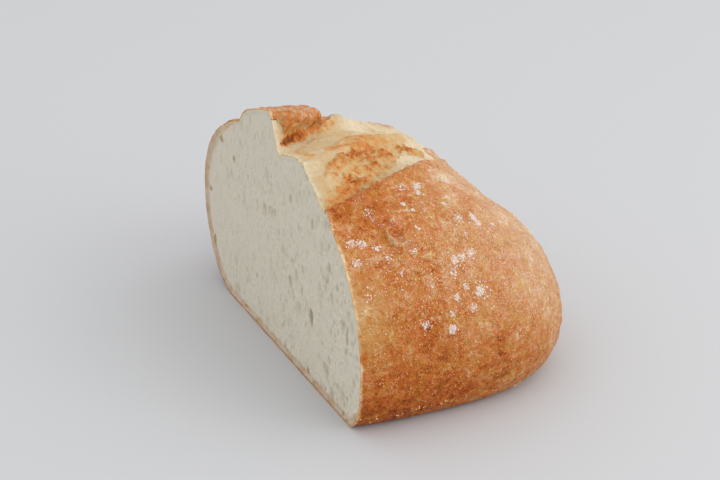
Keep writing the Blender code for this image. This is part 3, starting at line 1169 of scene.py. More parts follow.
@dataclass
class Crust:
    """The baked crust with its score and ear, closed behind the cut by a recess for the crumb."""

    shape: RollShape
    place: Vector
    recess: Recess
    start_level: int = 6
    passes: int = 6
    coarse: float = 2.6 * MM
    far_side: float = 1.3 * MM
    seen: float = 0.60 * MM
    torn: float = 0.42 * MM
    ear: float = 0.32 * MM
    top_starts: float = 40.0 * MM
    margin: float = 0.03 * MM
    snap: float = 0.06 * MM
    on_base: float = 0.07 * MM
    rim_edge: float = 0.8 * MM
    sharp: float = math.radians(62.0)
    stored: tuple[str, ...] = ("bake", "dough", "toast_and_shade", "flour", "gold")
    outline: np.ndarray = field(init=False)

    def fineness(self, places: np.ndarray) -> np.ndarray:
        """Longest edge that the mesh may keep at each place.

        Args:
            places: points on the smooth dome.

        Returns:
            Lengths in metres.
        """
        x, y, z = places.T
        edge, root = self.shape.band_lines(x)
        limit = np.full(len(places), self.seen)
        limit = np.where((y > 80.0 * MM) | ((y > 60.0 * MM) & (z < 30.0 * MM)), self.far_side, limit)
        limit = np.where(z < 0.6 * MM, self.coarse, limit)
        torn = (z > 40.0 * MM) & (y > edge - 4.0 * MM) & (y < root + 21.0 * MM) & (x < 60.0 * MM)
        limit = np.where(torn, self.torn, limit)
        ear = (z > 40.0 * MM) & (y > root - 1.5 * MM) & (y < root + 8.0 * MM) & (x < 24.0 * MM)
        limit = np.where(ear, self.ear, limit)
        return np.where(x < -1.5 * MM, 1.0, limit)

    def upper(self, dome: np.ndarray) -> np.ndarray:
        """Which points lie on the upper crust, where the score can be."""
        return dome[:, 2] > self.top_starts

    def refined_sphere(self) -> BMesh:
        """A unit sphere whose triangles are small where the finished crust shows.

        Returns:
            The sphere, open beyond the cut.
        """
        shell = bmesh.new()
        bmesh.ops.create_icosphere(shell, subdivisions=self.start_level, radius=1.0)
        places = self.shape.dome_points(coordinates(shell))
        beyond = places[:, 0] < -4.0 * MM
        spare = [face for face in shell.faces if all(beyond[vert.index] for vert in face.verts)]
        bmesh.ops.delete(shell, geom=spare, context="FACES")
        for _ in range(self.passes):
            shell.verts.index_update()
            places = self.shape.dome_points(coordinates(shell))
            ends = np.array([[vert.index for vert in edge.verts] for edge in shell.edges])
            lengths = np.linalg.norm(places[ends[:, 0]] - places[ends[:, 1]], axis=1)
            limit = self.fineness((places[ends[:, 0]] + places[ends[:, 1]]) / 2.0)
            long_edges = [edge for edge, too_long in zip(shell.edges, lengths > limit * 1.35) if too_long]
            if not long_edges:
                break
            bmesh.ops.subdivide_edges(shell, edges=long_edges, cuts=1, use_grid_fill=True)
            bmesh.ops.triangulate(shell, faces=[face for face in shell.faces if len(face.verts) > 3])
            for vert in shell.verts:
                vert.co.normalize()
        return shell

    def torn_marks(self, places: np.ndarray, dome: np.ndarray) -> dict[str, np.ndarray]:
        """Where the dough lies open in the score, how toasted it is, and where the crust round it is lifted.
        The hollow under the ear's lid is darkened with painted shade through the same toast value.

        Args:
            places: points on the roll's large shape.
            dome: the same points on the smooth dome.

        Returns:
            Named shares, one value per point.
        """
        along, across, _ = dome.T
        upper = self.upper(dome)
        edge, root = self.shape.band_lines(along)
        behind = across - root
        jag = 0.55 * MM * noise_at(dome, 2.4 * MM, seed=3.0) + 0.35 * MM * noise_at(dome, 0.9 * MM, seed=5.0)
        reach = 7.0 * MM * rise(across, 52.0, 62.0) * fall(across, 72.0, 86.0)
        score_end = along + 30.0 * np.maximum(across - 70.0 * MM, 0.0) ** 2 + 3.0 * jag - reach
        open_band = fall(score_end, 45.0, 50.0)
        lid_starts = 4.5 * MM - 0.5 * MM * rise(along, 9.0, 13.0) + 10.0 * MM * rise(along, 19.0, 34.0)
        beyond_edge = rise(across - edge + jag, -0.15, 0.25)
        before_lid = fall(behind + jag - lid_starts, -0.2, 0.5)
        dough = beyond_edge * before_lid * open_band * upper

        wild = 0.8 * noise_at(places, 3.4 * MM, (0.7, 1.0, 1.0), 6.0)
        wild += 0.8 * noise_at(places, 1.4 * MM, seed=8.0)
        toasted = patch(TOASTED, places, wild - 0.1, 0.4) * dough
        scorched = patch(SCORCHED, places, wild, 0.6) * dough
        yellowed = patch(YELLOWED, places, wild, 0.9) * dough
        streaks = smooth_step(noise_at(places, 4.0 * MM, (0.25, 1.0, 0.5), 11.0), 0.05, 0.5) * dough
        toast_and_shade = 0.14 - 0.12 * rise(places[:, 0], 22.0, 34.0)
        toast_and_shade += 0.08 * noise_at(places, 5.0 * MM, (0.5, 1.0, 1.0), 15.0)
        toast_and_shade += toasted * (0.19 + 0.26 * noise_at(places, 1.7 * MM, seed=19.0))
        toast_and_shade += 0.27 * yellowed + 0.07 * streaks

        foot_clear = 1.0 * MM + 2.6 * MM * rise(along, 18.0, 26.0)
        wall = 0.3 * MM + 2.2 * MM * rise(behind, 1.2, 2.4)
        under_lid = rise(behind - foot_clear + 0.5 * jag, -0.3, 0.4) * fall(behind, 4.6, 5.6) * upper
        under_lid *= smooth_step(along + jag, wall, wall + 2.2 * MM) * fall(along, 24.0, 27.0)
        # Painted shade: the hollow under the ear's lid is darkened in colour, on top of the shade that its
        # undercut casts.
        hollow_painted_shade = under_lid * fall(behind + jag, 2.1, 3.0) * fall(along, 9.0, 14.0)
        motley = 0.40 * noise_at(places, 2.9 * MM, (1.0, 1.0, 0.7), 14.0)
        toast_and_shade += (0.27 + motley - 0.10 * rise(along, 17.0, 22.0)) * under_lid
        toast_and_shade += 0.50 * hollow_painted_shade + 0.22 * scorched

        ear_here = fall(along, 17.0, 25.0)
        lid_edge = np.exp(bell(behind - lid_starts + jag, 0.0, 0.5)) * ear_here
        lid_edge *= rise(along, 0.6, 2.6) * upper
        toast_and_shade = np.maximum(toast_and_shade, 0.60 * lid_edge) * rise(along, -1.0, 3.0)
        rim = np.exp(bell(np.maximum(edge - across - jag, 0.0), 0.0, 1.3)) * (across < edge + 0.6 * MM)
        rim *= open_band * upper
        toast_and_shade = np.maximum(toast_and_shade, 0.55 * rim)
        lid_top = ear_here * rise(behind, 3.0, 5.0) * fall(behind, 9.0, 14.0)
        names = ("dough", "toast_and_shade", "toasted", "scorched", "rim", "lid_edge", "lid_top")
        return dict(zip(names, (dough, toast_and_shade, toasted, scorched, rim, lid_edge, lid_top)))

    def floured(self, places: np.ndarray, gold: np.ndarray) -> np.ndarray:
        """How thick the flour lies, in patches and as dust on the near side and the end.

        Args:
            places: points on the roll's large shape.
            gold: where the crust is golden and clean.

        Returns:
            A share from 0 to 1 for each point.
        """
        x, y, z = places.T
        ragged = 0.45 * noise_at(places, 2.2 * MM, seed=7.0) + 0.35 * noise_at(places, 0.8 * MM, seed=9.0)
        patches = np.zeros(len(places))
        for *spot, radius, thickness in FLOUR_SPOTS:
            away = np.linalg.norm(places - np.array(spot) * MM, axis=1) / (radius * MM)
            patches = np.maximum(patches, thickness * smooth_step(1.25 - away + 0.5 * ragged, 0.0, 0.7))
        cloudy = noise_at(places, 9.0 * MM, seed=13.0) + noise_at(places, 2.6 * MM, seed=16.0)
        dusted = smooth_step(cloudy, -0.3, 0.7) * fall(y, 10.0, 60.0) * rise(z, 26.0, 42.0)
        flour = np.maximum(0.95 * patches, 0.50 * dusted * (1.0 - 0.9 * gold))
        return np.maximum(flour, (0.49 + 0.2 * ragged) * rise(x, 12.0, 58.0) * rise(z, 2.0, 40.0))

    def marks(self, places: np.ndarray, dome: np.ndarray) -> dict[str, np.ndarray]:
        """Where the crust is browned, torn, toasted and floured.

        Args:
            places: points on the roll's large shape.
            dome: the same points on the smooth dome.

        Returns:
            Named shares, one value per point.
        """
        x, y, z = places.T
        marks = self.torn_marks(places, dome)
        skin = 1.0 - marks["dough"]
        low, to_end = fall(z, 4.0, 40.0), rise(x, 15.0, 66.0)
        gold = np.exp(bell(x, 2.0, 8.0) + bell(z, 34.0, 11.0)) * fall(y, 10.0, 60.0)
        bake = 0.57 + 0.21 * low * (1.0 - 0.25 * to_end) - 0.28 * to_end - 0.22 * gold
        bake += (0.13 - 0.07 * rise(x, 8.0, 26.0)) * marks["rim"]
        bake += 0.08 * rise(y, 60.0, 100.0) - 0.08 * rise(z, 50.0, 62.0) * rise(x, 12.0, 40.0)
        bake += 0.12 * marks["lid_edge"] - 0.14 * marks["lid_top"]
        cut_edge = fall(x, 0.1, 0.9) * skin
        broken = smooth_step(noise_at(places, 6.0 * MM, seed=17.0), 0.1, 0.45)
        bake += cut_edge * (0.12 + 0.10 * rise(y, 60.0, 90.0) - bake + 0.34 * broken)
        bake += 0.65 * cut_spots(y, z) * fall(x, 0.2, 1.2) * skin
        bake -= 0.30 * smooth_step(CRESCENT_LIP.nearness(places), 0.1, 0.8)
        bake -= 0.25 * np.exp(bell(x, 39.5, 3.0) + bell(y, 22.5, 4.0)) * self.upper(dome)
        marks.update(bake=bake, gold=gold, flour=self.floured(places, gold) * skin)
        return marks

    def skin_relief(self, places: np.ndarray) -> np.ndarray:
        """Low lumps, blisters and pinholes of the baked skin.

        Args:
            places: points on the roll's large shape.

        Returns:
            Heights in metres.
        """
        height = np.zeros(len(places))
        for lump, size, seed in ((0.26, 8.0, 21.0), (0.20, 3.2, 23.0), (0.13, 1.5, 25.0)):
            height += lump * MM * noise_at(places, size * MM, seed=seed)
        gap, chance = cells_at(places, 3.6 * MM, seed=27.0)
        radius = (0.5 + 1.1 * chance) * MM
        bubble = np.sqrt(np.clip(1.0 - (gap / radius) ** 2, 0.0, 1.0))
        height += np.where(chance > 0.45, 0.24 * MM, 0.0) * bubble
        gap, chance = cells_at(places, 2.3 * MM, seed=29.0)
        pin = (0.25 + 0.35 * chance) * MM
        height -= np.where(chance > 0.6, 0.28 * MM, 0.0) * (1.0 - smooth_step(gap, 0.4 * pin, pin * 1.3))
        return height

    def dough_relief(self, places: np.ndarray, toasted: np.ndarray) -> np.ndarray:
        """Strands and pits of the torn dough.

        Args:
            places: points on the roll's large shape.
            toasted: where the dough is toasted, which opens its pits.

        Returns:
            Heights in metres.
        """
        strands = np.abs(noise_at(places, 3.0 * MM, (0.3, 1.0, 0.6), 31.0))
        height = 0.35 * MM - 0.9 * MM * strands
        height += 0.22 * MM * noise_at(places, 1.2 * MM, (0.6, 1.0, 1.0), 33.0)
        gap, chance = cells_at(places, 2.2 * MM, seed=37.0)
        pit = (0.4 + 0.6 * chance) * MM
        pitted = (0.25 + 0.75 * toasted) * (chance > 0.45)
        return height - pitted * 0.8 * MM * (1.0 - smooth_step(gap, 0.3 * pit, pit * 1.2))

    def edge_relief(self, places: np.ndarray) -> np.ndarray:
        """The ear's rough lid, its small tab, the band's fall to the far side and the crescent-shaped flake.

        Args:
            places: points on the roll's large shape.

        Returns:
            Heights in metres.
        """
        x, y, z = places.T
        _, root = self.shape.band_lines(x)
        ear = rise(y - root, -2.0, 1.0) * fall(y - root, 8.0, 12.0)
        ear *= rise(x, 1.0, 4.0) * fall(x, 22.0, 28.0) * (z > 50.0 * MM)
        rough = 0.5 * noise_at(places, 3.4 * MM, seed=51.0) + 0.3 * noise_at(places, 1.3 * MM, seed=53.0)
        height = ear * MM * (rough - 0.25)
        beyond = rise(x, 20.0, 26.0) * rise(y, 50.0, 58.0) * (z > 40.0 * MM)
        height -= 0.9 * MM * beyond * fall(x, 46.0, 54.0)
        height += 1.6 * MM * np.exp(bell(x, 27.2, 2.6) + bell(y, 70.0, 3.0)) * (z > 50.0 * MM)
        lip = (1.0 + 1.2 * noise_at(places, 2.0 * MM, seed=57.0)) * MM
        height += lip * smooth_step(CRESCENT_LIP.nearness(places), -0.1, 0.7)
        return height - 0.8 * MM * smooth_step(CRESCENT_PIT.nearness(places), -0.1, 0.7)

    def fine_relief(self, places: np.ndarray, marks: dict[str, np.ndarray]) -> np.ndarray:
        """Height of what is too small for the large shape: blisters, pinholes, strands and toasted crags.

        Args:
            places: points on the roll's large shape.
            marks: the crust's marks there.

        Returns:
            Heights along the surface's normal, in metres.
        """
        dough, toasted = marks["dough"], marks["toasted"]
        height = (1.0 - dough) * self.skin_relief(places) + dough * self.dough_relief(places, toasted)
        broken = noise_at(places, 3.0 * MM, seed=35.0) + 0.6 * noise_at(places, 1.3 * MM, seed=36.0)
        height += toasted * (0.15 * MM + 0.75 * MM * np.abs(broken))
        height += 0.7 * MM * marks["scorched"] * (1.0 + noise_at(places, 1.0 * MM, seed=39.0))
        height += 0.45 * MM * marks["rim"]
        ragged_band = self.shape.in_band(places) * rise(places[:, 0], 1.0, 5.0)
        ridges = np.abs(noise_at(places, 3.6 * MM, (0.6, 1.0, 0.8), 55.0))
        height += ragged_band * 0.35 * MM * (1.0 - 2.0 * ridges)
        return (height + self.edge_relief(places)) * rise(places[:, 2], 0.3, 3.0)

    def fit_inside(self, shell: BMesh) -> None:
        """Draws the crust in by the hair that fine relief takes it beyond the solid's box.

        Args:
            shell: the crust in the cut's frame.
        """
        low, high = (np.array(corner) - np.array(self.place) for corner in SOLID_BOX)
        places = coordinates(shell)
        for axis in (1, 2):
            mine_low, mine_high = places[:, axis].min(), places[:, axis].max()
            new_low = max(mine_low, low[axis] + self.margin) if axis == 1 else mine_low
            new_high = min(mine_high, high[axis] - self.margin)
            share = (places[:, axis] - mine_low) / (mine_high - mine_low)
            places[:, axis] = new_low + share * (new_high - new_low)
        reach = min(places[:, 0].max(), high[0] - self.margin) / places[:, 0].max()
        places[:, 0] *= reach
        move_to(shell, places)

    def cut(self, shell: BMesh) -> None:
        """Cuts the crust flat underneath and across, and hollows the recess behind the cut.

        Args:
            shell: the crust in the cut's frame.
        """
        for outward in (Vector((0.0, 0.0, -1.0)), Vector((-1.0, 0.0, 0.0))):
            everything = shell.verts[:] + shell.edges[:] + shell.faces[:]
            bmesh.ops.bisect_plane(
                shell,
                geom=everything,
                dist=self.snap,
                plane_co=(0.0, 0.0, 0.0),
                plane_no=outward,
                use_snap_center=True,
                clear_outer=True,
            )
            if outward.z < 0.0:
                rims = open_edges(shell)
                base = [edge for edge in rims if max(abs(vert.co.z) for vert in edge.verts) < self.on_base]
                bmesh.ops.contextual_create(shell, geom=self.closed_base(shell, base))
        for _ in range(8):
            long_rim = [edge for edge in open_edges(shell) if edge.calc_length() > self.rim_edge]
            if not long_rim:
                break
            bmesh.ops.subdivide_edges(shell, edges=long_rim, cuts=1)
        loop = rim_loop(shell)
        log.info("crust rim: %d corners in order", len(loop))
        self.outline = np.array([(vert.co.y, vert.co.z) for vert in loop])
        for depth, outline in self.recess.loops(self.outline):
            loop = extruded(shell, loop, depth, outline)
        close_up(shell)

    def closed_base(self, shell: BMesh, base: list[BMEdge]) -> list[BMEdge]:
        """Adds the one straight edge that the base's open outline lacks beyond the cut.

        Args:
            shell: the crust.
            base: the base's open edges.

        Returns:
            The edges of a closed outline.
        """
        counts: dict[BMVert, int] = {}
        for edge in base:
            for vert in edge.verts:
                counts[vert] = counts.get(vert, 0) + 1
        ends = [vert for vert, count in counts.items() if count == 1]
        if len(ends) == 2:
            base = base + [shell.edges.new(ends)]
        return base

    def build(self) -> Object:
        """Builds and dresses the crust."""
        shell = self.refined_sphere()
        log.info("sphere: %d triangles", len(shell.faces))
        dome = self.shape.dome_points(coordinates(shell))
        move_to(shell, dome)
        bmesh.ops.recalc_face_normals(shell, faces=shell.faces[:])
        shell.normal_update()
        normals = np.array([vert.normal for vert in shell.verts])
        move_to(shell, self.shape.relief(dome, normals))
        inner = [vert for vert in shell.verts if not vert.is_boundary]
        axes = {"use_axis_x": True, "use_axis_y": True, "use_axis_z": True}
        for _ in range(2):
            bmesh.ops.smooth_vert(shell, verts=inner, factor=0.5, **axes)
        shell.normal_update()
        places = coordinates(shell)
        normals = np.array([vert.normal for vert in shell.verts])
        marks = self.marks(places, dome)
        move_to(shell, places + normals * self.fine_relief(places, marks)[:, None])
        for name in self.stored:
            store(shell, name, marks[name])
        self.fit_inside(shell)
        self.cut(shell)
        piece = finished_object("crust", shell, self.place, CrustFinish().material())
        piece.data.set_sharp_from_angle(angle=self.sharp)
        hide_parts(NODE)
        return piece


# Pores by size: spacing in mm, height share, share that is open, depth in mm, seed.
PORE_SIZES: tuple[Row, ...] = (
    (4.2, 0.55, 0.5, 1.0, 43.0),
    (2.4, 0.6, 0.7, 0.8, 45.0),
    (1.3, 0.75, 0.75, 0.45, 47.0),
)


@dataclass
class Crumb:
    """The open crumb in the cut: a block with pores and holes in its face, filling the crust's recess."""

    outline: np.ndarray
    recess: Recess
    place: Vector
    cell: float = 0.32 * MM
    side_gap: float = 0.22 * MM
    mark_names: tuple[str, str, str, str] = ("pore_and_shade", "side", "skin", "spot")

    def inside(self, points: np.ndarray, outline: np.ndarray) -> np.ndarray:
        """Whether points lie within a closed outline.

        Args:
            points: (y, z) points.
            outline: (y, z) corners in order.

        Returns:
            One truth value per point.
        """
        y, z = points.T
        within = np.zeros(len(points), bool)
        last = outline[-1]
        for corner in outline:
            (y0, z0), (y1, z1) = last, corner
            if z0 != z1:
                crosses = ((z0 > z) != (z1 > z)) & (y < (y1 - y0) * (z - z0) / (z1 - z0) + y0)
                within ^= crosses
            last = corner
        return within

    def pits(self, places: np.ndarray, to_skin: np.ndarray) -> tuple[np.ndarray, np.ndarray]:
        """Depth of the pores and holes, and the shade painted into them.

        Args:
            places: points of the cut face.
            to_skin: their distance from the outline.

        Returns:
            Depths in metres, and the shade painted in the pits and holes, from 0 to 1.
        """
        _, across, high = places.T
        bent = places.copy()
        for axis, seed in ((1, 61.0), (2, 62.0)):
            bent[:, axis] += 0.5 * MM * noise_at(places, 2.4 * MM, seed=seed)
        to_far = (across - 50.0 * MM) / (120.0 * MM)
        coarse = smooth_step(noise_at(places, 16.0 * MM, seed=63.0) - to_far, -0.5, 0.5)
        depth = 0.26 * MM * (1.0 + noise_at(places, 4.2 * MM, (1.0, 1.0, 0.7), 41.0))
        depth += (0.12 + 0.30 * coarse) * MM * np.abs(noise_at(places, 2.0 * MM, (1.0, 1.0, 0.7), 42.0))
        pit_shade = np.zeros(len(places))
        for size, tall, share, deep, seed in PORE_SIZES:
            gap, chance = cells_at(bent, size * MM, (1.0, 1.0, tall), seed)
            radius = size * MM * (0.18 + 0.36 * chance)
            pore_and_shade = (1.0 - smooth_step(gap, 0.1 * radius, 1.15 * radius)) * (chance > 1.0 - share)
            pore_and_shade = pore_and_shade * (0.35 + 0.65 * coarse)
            depth = np.maximum(depth, depth * 0.4 + deep * MM * pore_and_shade * (0.5 + 0.5 * chance))
            # Pores are darkened with painted shade.
            pit_shade = np.maximum(pit_shade, 0.68 * pore_and_shade * (0.3 + 0.7 * chance))
        for y, z, half_width, half_height, deepest in CRUMB_HOLES:
            away = np.hypot((across - y * MM) / (half_width * MM), (high - z * MM) / (half_height * MM))
            hole = np.sqrt(np.clip(1.0 - away**2, 0.0, 1.0))
            depth = np.maximum(depth, deepest * MM * 0.95 * hole)
            # Holes get painted shade by their depth.
            pit_shade = np.maximum(pit_shade, 0.6 * deepest * smooth_step(hole, 0.0, 0.8))
        fade = rise(to_skin, 0.2, 1.2)
        depth = np.minimum(depth * fade, 0.4 * to_skin)
        return depth, pit_shade * fade

    def build(self) -> Object:
        """Builds and dresses the crumb."""
        loops = self.recess.loops(self.outline)
        play = self.recess.play
        mouth = self.recess.inset(loops[0][1], play, 0)
        low, high = mouth.min(axis=0), mouth.max(axis=0)
        steps = np.ceil((high - low) / self.cell).astype(int)
        shell = bmesh.new()
        for name in self.mark_names:
            shell.verts.layers.float.new(name)
        size = steps * self.cell / 2.0
        centre = (low + high) / 2.0
        upright = Matrix(
            (
                (0.0, 0.0, 1.0, 0.0),
                (size[0], 0.0, 0.0, centre[0]),
                (0.0, size[1], 0.0, centre[1]),
                (0.0, 0.0, 0.0, 1.0),
            )
        )
        columns, rows = (int(count) for count in steps)
        bmesh.ops.create_grid(shell, x_segments=columns, y_segments=rows, size=1.0, matrix=upright)
        places = coordinates(shell)
        tree = kdtree.KDTree(len(mouth) * 4)
        count = 0
        for part in range(4):
            for y, z in mouth + (np.roll(mouth, -1, axis=0) - mouth) * part / 4.0:
                tree.insert((0.0, y, z), count)
                count += 1
        tree.balance()
        to_skin = np.array([tree.find(place)[2] for place in places.tolist()])
        keep = self.inside(places[:, 1:], mouth) & (to_skin > self.side_gap)
        spare = [vert for vert, kept in zip(shell.verts, keep) if not kept]
        bmesh.ops.delete(shell, geom=spare, context="VERTS")
        self.drop_islands(shell)
        stair = [edge for edge in shell.edges if edge.is_boundary]
        loop = [shell.verts.new((0.0, y, z)) for y, z in mouth]
        outer = [shell.edges.new((first, second)) for first, second in zip(loop, loop[1:] + loop[:1])]
        bmesh.ops.triangle_fill(shell, use_beauty=True, use_dissolve=False, edges=stair + outer)
        places = coordinates(shell)
        to_skin = np.array([tree.find(place)[2] for place in places.tolist()])
        depth, pit_shade = self.pits(places, to_skin)
        for vert, deep in zip(shell.verts, depth):
            vert.co.x = deep
        self.mark(shell, places, to_skin, pit_shade)
        self.close_back(shell, loop, loops)
        piece = finished_object("crumb", shell, self.place, CrumbFinish().material())
        return piece

    def drop_islands(self, shell: BMesh) -> None:
        """Removes loose corners and faces that hang on by one corner only.

        Args:
            shell: the crumb's face.
        """
        for _ in range(6):
            wires = [vert for vert in shell.verts if not vert.link_faces]
            pinched = [vert for vert in shell.verts if sum(edge.is_boundary for edge in vert.link_edges) > 2]
            lone = [face for face in shell.faces if sum(edge.is_boundary for edge in face.edges) > 2]
            if not wires and not pinched and not lone:
                break
            if lone:
                bmesh.ops.delete(shell, geom=lone, context="FACES")
                continue
            bmesh.ops.delete(shell, geom=list(set(wires + pinched)), context="VERTS")

    def mark(self, shell: BMesh, places: np.ndarray, to_skin: np.ndarray, pit_shade: np.ndarray) -> None:
        """Stores the shade painted in the crumb's pits and holes, and where the crust's cut edge lies.

        Args:
            shell: the crumb's face.
            places: its points.
            to_skin: their distances from the outline.
            pit_shade: the shade painted in the pits and holes, from 0 to 1.
        """
        y, z = places[:, 1], places[:, 2]
        far, base = rise(y, 78.0, 104.0), 1.0 - rise(z, 4.0, 10.0)
        side = np.maximum(np.maximum(far, base), 0.6 * rise(y, 60.0, 95.0))
        width = (0.55 + np.maximum(2.9 * far, 1.9 * base)) * MM
        skin = 1.0 - smooth_step(to_skin, 0.2 * width, 1.6 * width)
        spot = cut_spots(y, z)
        for name, values in zip(self.mark_names, (pit_shade, side, skin, spot)):
            store(shell, name, values)

    def close_back(self, shell: BMesh, loop: list[BMVert], loops: list[tuple[float, np.ndarray]]) -> None:
        """Gives the crumb's face its sides and back.

        Args:
            shell: the crumb's face.
            loop: its outline's corners in order.
            loops: the recess's outlines.
        """
        play = self.recess.play
        for depth, outline in loops[1:]:
            loop = extruded(shell, loop, depth - play, self.recess.inset(outline, play, 0))
        close_up(shell)


@dataclass
class Grains:
    """Loose grains that lie on the crust, joined as one piece."""

    name: str
    place: Vector
    crust: Object
    material: Material
    slot: Slot
    seed: int
    sides: int = 1
    batch: int = 120
    spots: list[tuple[Vector, Vector, Vector, float]] = field(default_factory=list)
    surface: BVHTree = field(init=False)
    chance: random.Random = field(init=False)

    def __post_init__(self) -> None:
        """Prepares the crust for looking up its surface."""
        mesh = self.crust.data
        corners = [vert.co - self.place for vert in mesh.vertices]
        self.surface = BVHTree.FromPolygons(corners, [tuple(face.vertices) for face in mesh.polygons])
        self.chance = random.Random(self.seed)

    def drop(self, near: Vector, size: Vector, sunk: float) -> None:
        """Puts one grain on the crust's nearest surface.

        Args:
            near: about where, in the cut's frame.
            size: its half sizes along the surface and outwards.
            sunk: how much of its height lies in the crust, from 0 to 1.
        """
        found, normal, _, _ = self.surface.find_nearest(near)
        if found is None or found.x < 0.3 * MM:
            return
        self.spots.append((found, normal, size, sunk))

    def around(self, spot: Row, crowding: float, smallest: float, largest: float) -> None:
        """Drops a cluster of grains round a patch's middle.

        Args:
            spot: the patch's place and radius in millimetres, and how thick it lies.
            crowding: grains per square millimetre.
            smallest: the smallest grain's radius in metres.
            largest: the largest grain's radius in metres.
        """
        x, y, z, radius, thickness = spot
        for _ in range(int(crowding * thickness * math.pi * radius**2)):
            spread = radius * 0.6
            away = Vector([self.chance.gauss(0.0, spread) for _ in range(3)])
            size = smallest + (largest - smallest) * self.chance.random() ** 2
            width = size * self.chance.uniform(0.4, 1.0)
            flat = Vector((size, width, 0.03 * MM + size * self.chance.uniform(0.1, 0.3)))
            self.drop((Vector((x, y, z)) + away) * MM, flat, 0.3)

    def build(self) -> Object:
        """Makes the grains in small batches and joins them."""
        whole = bmesh.new()
        for first in range(0, len(self.spots), self.batch):
            part = bmesh.new()
            for found, normal, size, sunk in self.spots[first : first + self.batch]:
                turn = normal.to_track_quat("Z", "Y").to_matrix().to_4x4()
                spin = Matrix.Rotation(self.chance.uniform(0.0, math.tau), 4, "Z")
                grow = Matrix.Diagonal((*size, 1.0))
                at = Matrix.Translation(found + normal * size.z * (1.0 - 2.0 * sunk))
                where = at @ turn @ spin @ grow
                bmesh.ops.create_icosphere(part, subdivisions=self.sides, radius=1.0, matrix=where)
            batch = bpy.data.meshes.new("batch")
            part.to_mesh(batch)
            part.free()
            whole.from_mesh(batch)
            bpy.data.meshes.remove(batch)
        for vert in whole.verts:
            vert.co.x = min(max(vert.co.x, 0.0), SOLID_BOX[1].x - self.place.x)
            vert.co.y = min(max(vert.co.y, SOLID_BOX[0].y - self.place.y), SOLID_BOX[1].y - self.place.y)
            vert.co.z = min(max(vert.co.z, 0.0), SOLID_BOX[1].z)
        return finished_object(self.name, whole, self.place, self.material)


# How far the cut's frame lies across from the roll's.
ACROSS_SHIFT = -52.205 * MM

FLOUR_SPECKS = 420
BLISTER_TRIES = 6400
SEMOLINA_GRAINS = 260


def flour_grains(crust: Object, place: Vector) -> Grains:
    """Flour in patches and as single specks on the near crust.

    Args:
        crust: the crust piece.
        place: how far the cut's frame lies from the roll's.

    Returns:
        The grains, ready to build.
    """
    material = GrainFinish("Flour", (0.76, 0.65, 0.59)).material()
    grains = Grains("flour", place, crust, material, Slot.FLOUR, 5)
    for spot in FLOUR_SPOTS:
        grains.around(spot, 12.0, 0.10 * MM, 0.40 * MM)
    for _ in range(FLOUR_SPECKS):
        x = grains.chance.triangular(-2.0, 62.0, 20.0) * MM
        z = grains.chance.triangular(22.0, 62.0, 50.0) * MM
        y = grains.chance.uniform(-12.0, 22.0) * MM
        size = (0.09 + 0.17 * grains.chance.random() ** 2) * MM
        grains.drop(Vector((x, y, z)), Vector((size, size * 0.8, size * 0.6)), 0.3)
    return grains


def micro_blisters(crust: Object, place: Vector) -> Grains:
    """Tiny pale blisters all over the seen crust.

    Args:
        crust: the crust piece.
        place: how far the cut's frame lies from the roll's.

    Returns:
        The blisters, ready to build.
    """
    grains = Grains("blisters", place, crust, BlisterFinish().material(), Slot.CRUST, 15)
    shape = RollShape()
    for _ in range(BLISTER_TRIES):
        turn = grains.chance.uniform(-0.62 * math.pi, 0.35 * math.pi)
        tall = grains.chance.random()
        out = Vector((math.cos(turn), math.sin(turn), 0.1 + 1.3 * tall)).normalized()
        start = Vector((grains.chance.uniform(0.0, 34.0), 30.0, 10.0)) * MM
        hit, *_ = grains.surface.ray_cast(start + out * 0.15, -out)
        if hit is None or hit.z < 0.6 * MM or hit.x < 1.0 * MM:
            continue
        edge, root = shape.band_lines(np.array([hit.x]))
        if edge[0] - 1.0 * MM < hit.y < root[0] + 4.0 * MM and hit.z > 45.0 * MM:
            continue
        golden = hit.x < 9.0 * MM and 25.0 * MM < hit.z < 46.0 * MM and hit.y < 20.0 * MM
        size = (0.13 + 0.32 * grains.chance.random() ** 2) * MM * (0.5 if golden else 1.0)
        width = size * grains.chance.uniform(0.25, 0.7)
        grains.drop(hit, Vector((size, width, 0.04 * MM + size * 0.25)), 0.35)
    return grains


def semolina_grains(crust: Object, place: Vector) -> Grains:
    """Coarse yellow grains along the base's edge, and a few on the lower crust.

    Args:
        crust: the crust piece.
        place: how far the cut's frame lies from the roll's.

    Returns:
        The grains, ready to build.
    """
    material = GrainFinish("Semolina", (0.76, 0.46, 0.20)).material()
    grains = Grains("semolina", place, crust, material, Slot.FLOUR, 9)
    for _ in range(SEMOLINA_GRAINS):
        turn = grains.chance.uniform(-0.5 * math.pi, 0.5 * math.pi)
        x = 16.0 + 60.0 * math.cos(turn) if grains.chance.random() < 0.7 else grains.chance.uniform(0.0, 30.0)
        y = 46.0 + 62.0 * math.sin(turn) if x > 16.0 else grains.chance.choice((-12.0, 114.0))
        size = (0.10 + 0.24 * grains.chance.random() ** 2) * MM
        height = grains.chance.triangular(0.2, 4.0, 0.5) * MM
        grains.drop(Vector((x * MM, y * MM, height)), Vector((size, size * 0.8, size * 0.7)), 0.25)
    for _ in range(SEMOLINA_GRAINS):
        x, z = grains.chance.uniform(1.0, 60.0), grains.chance.triangular(3.0, 50.0, 12.0)
        size = (0.10 + 0.16 * grains.chance.random() ** 2) * MM
        grains.drop(Vector((x, -14.0, z)) * MM, Vector((size, size * 0.8, size * 0.6)), 0.4)
    return grains


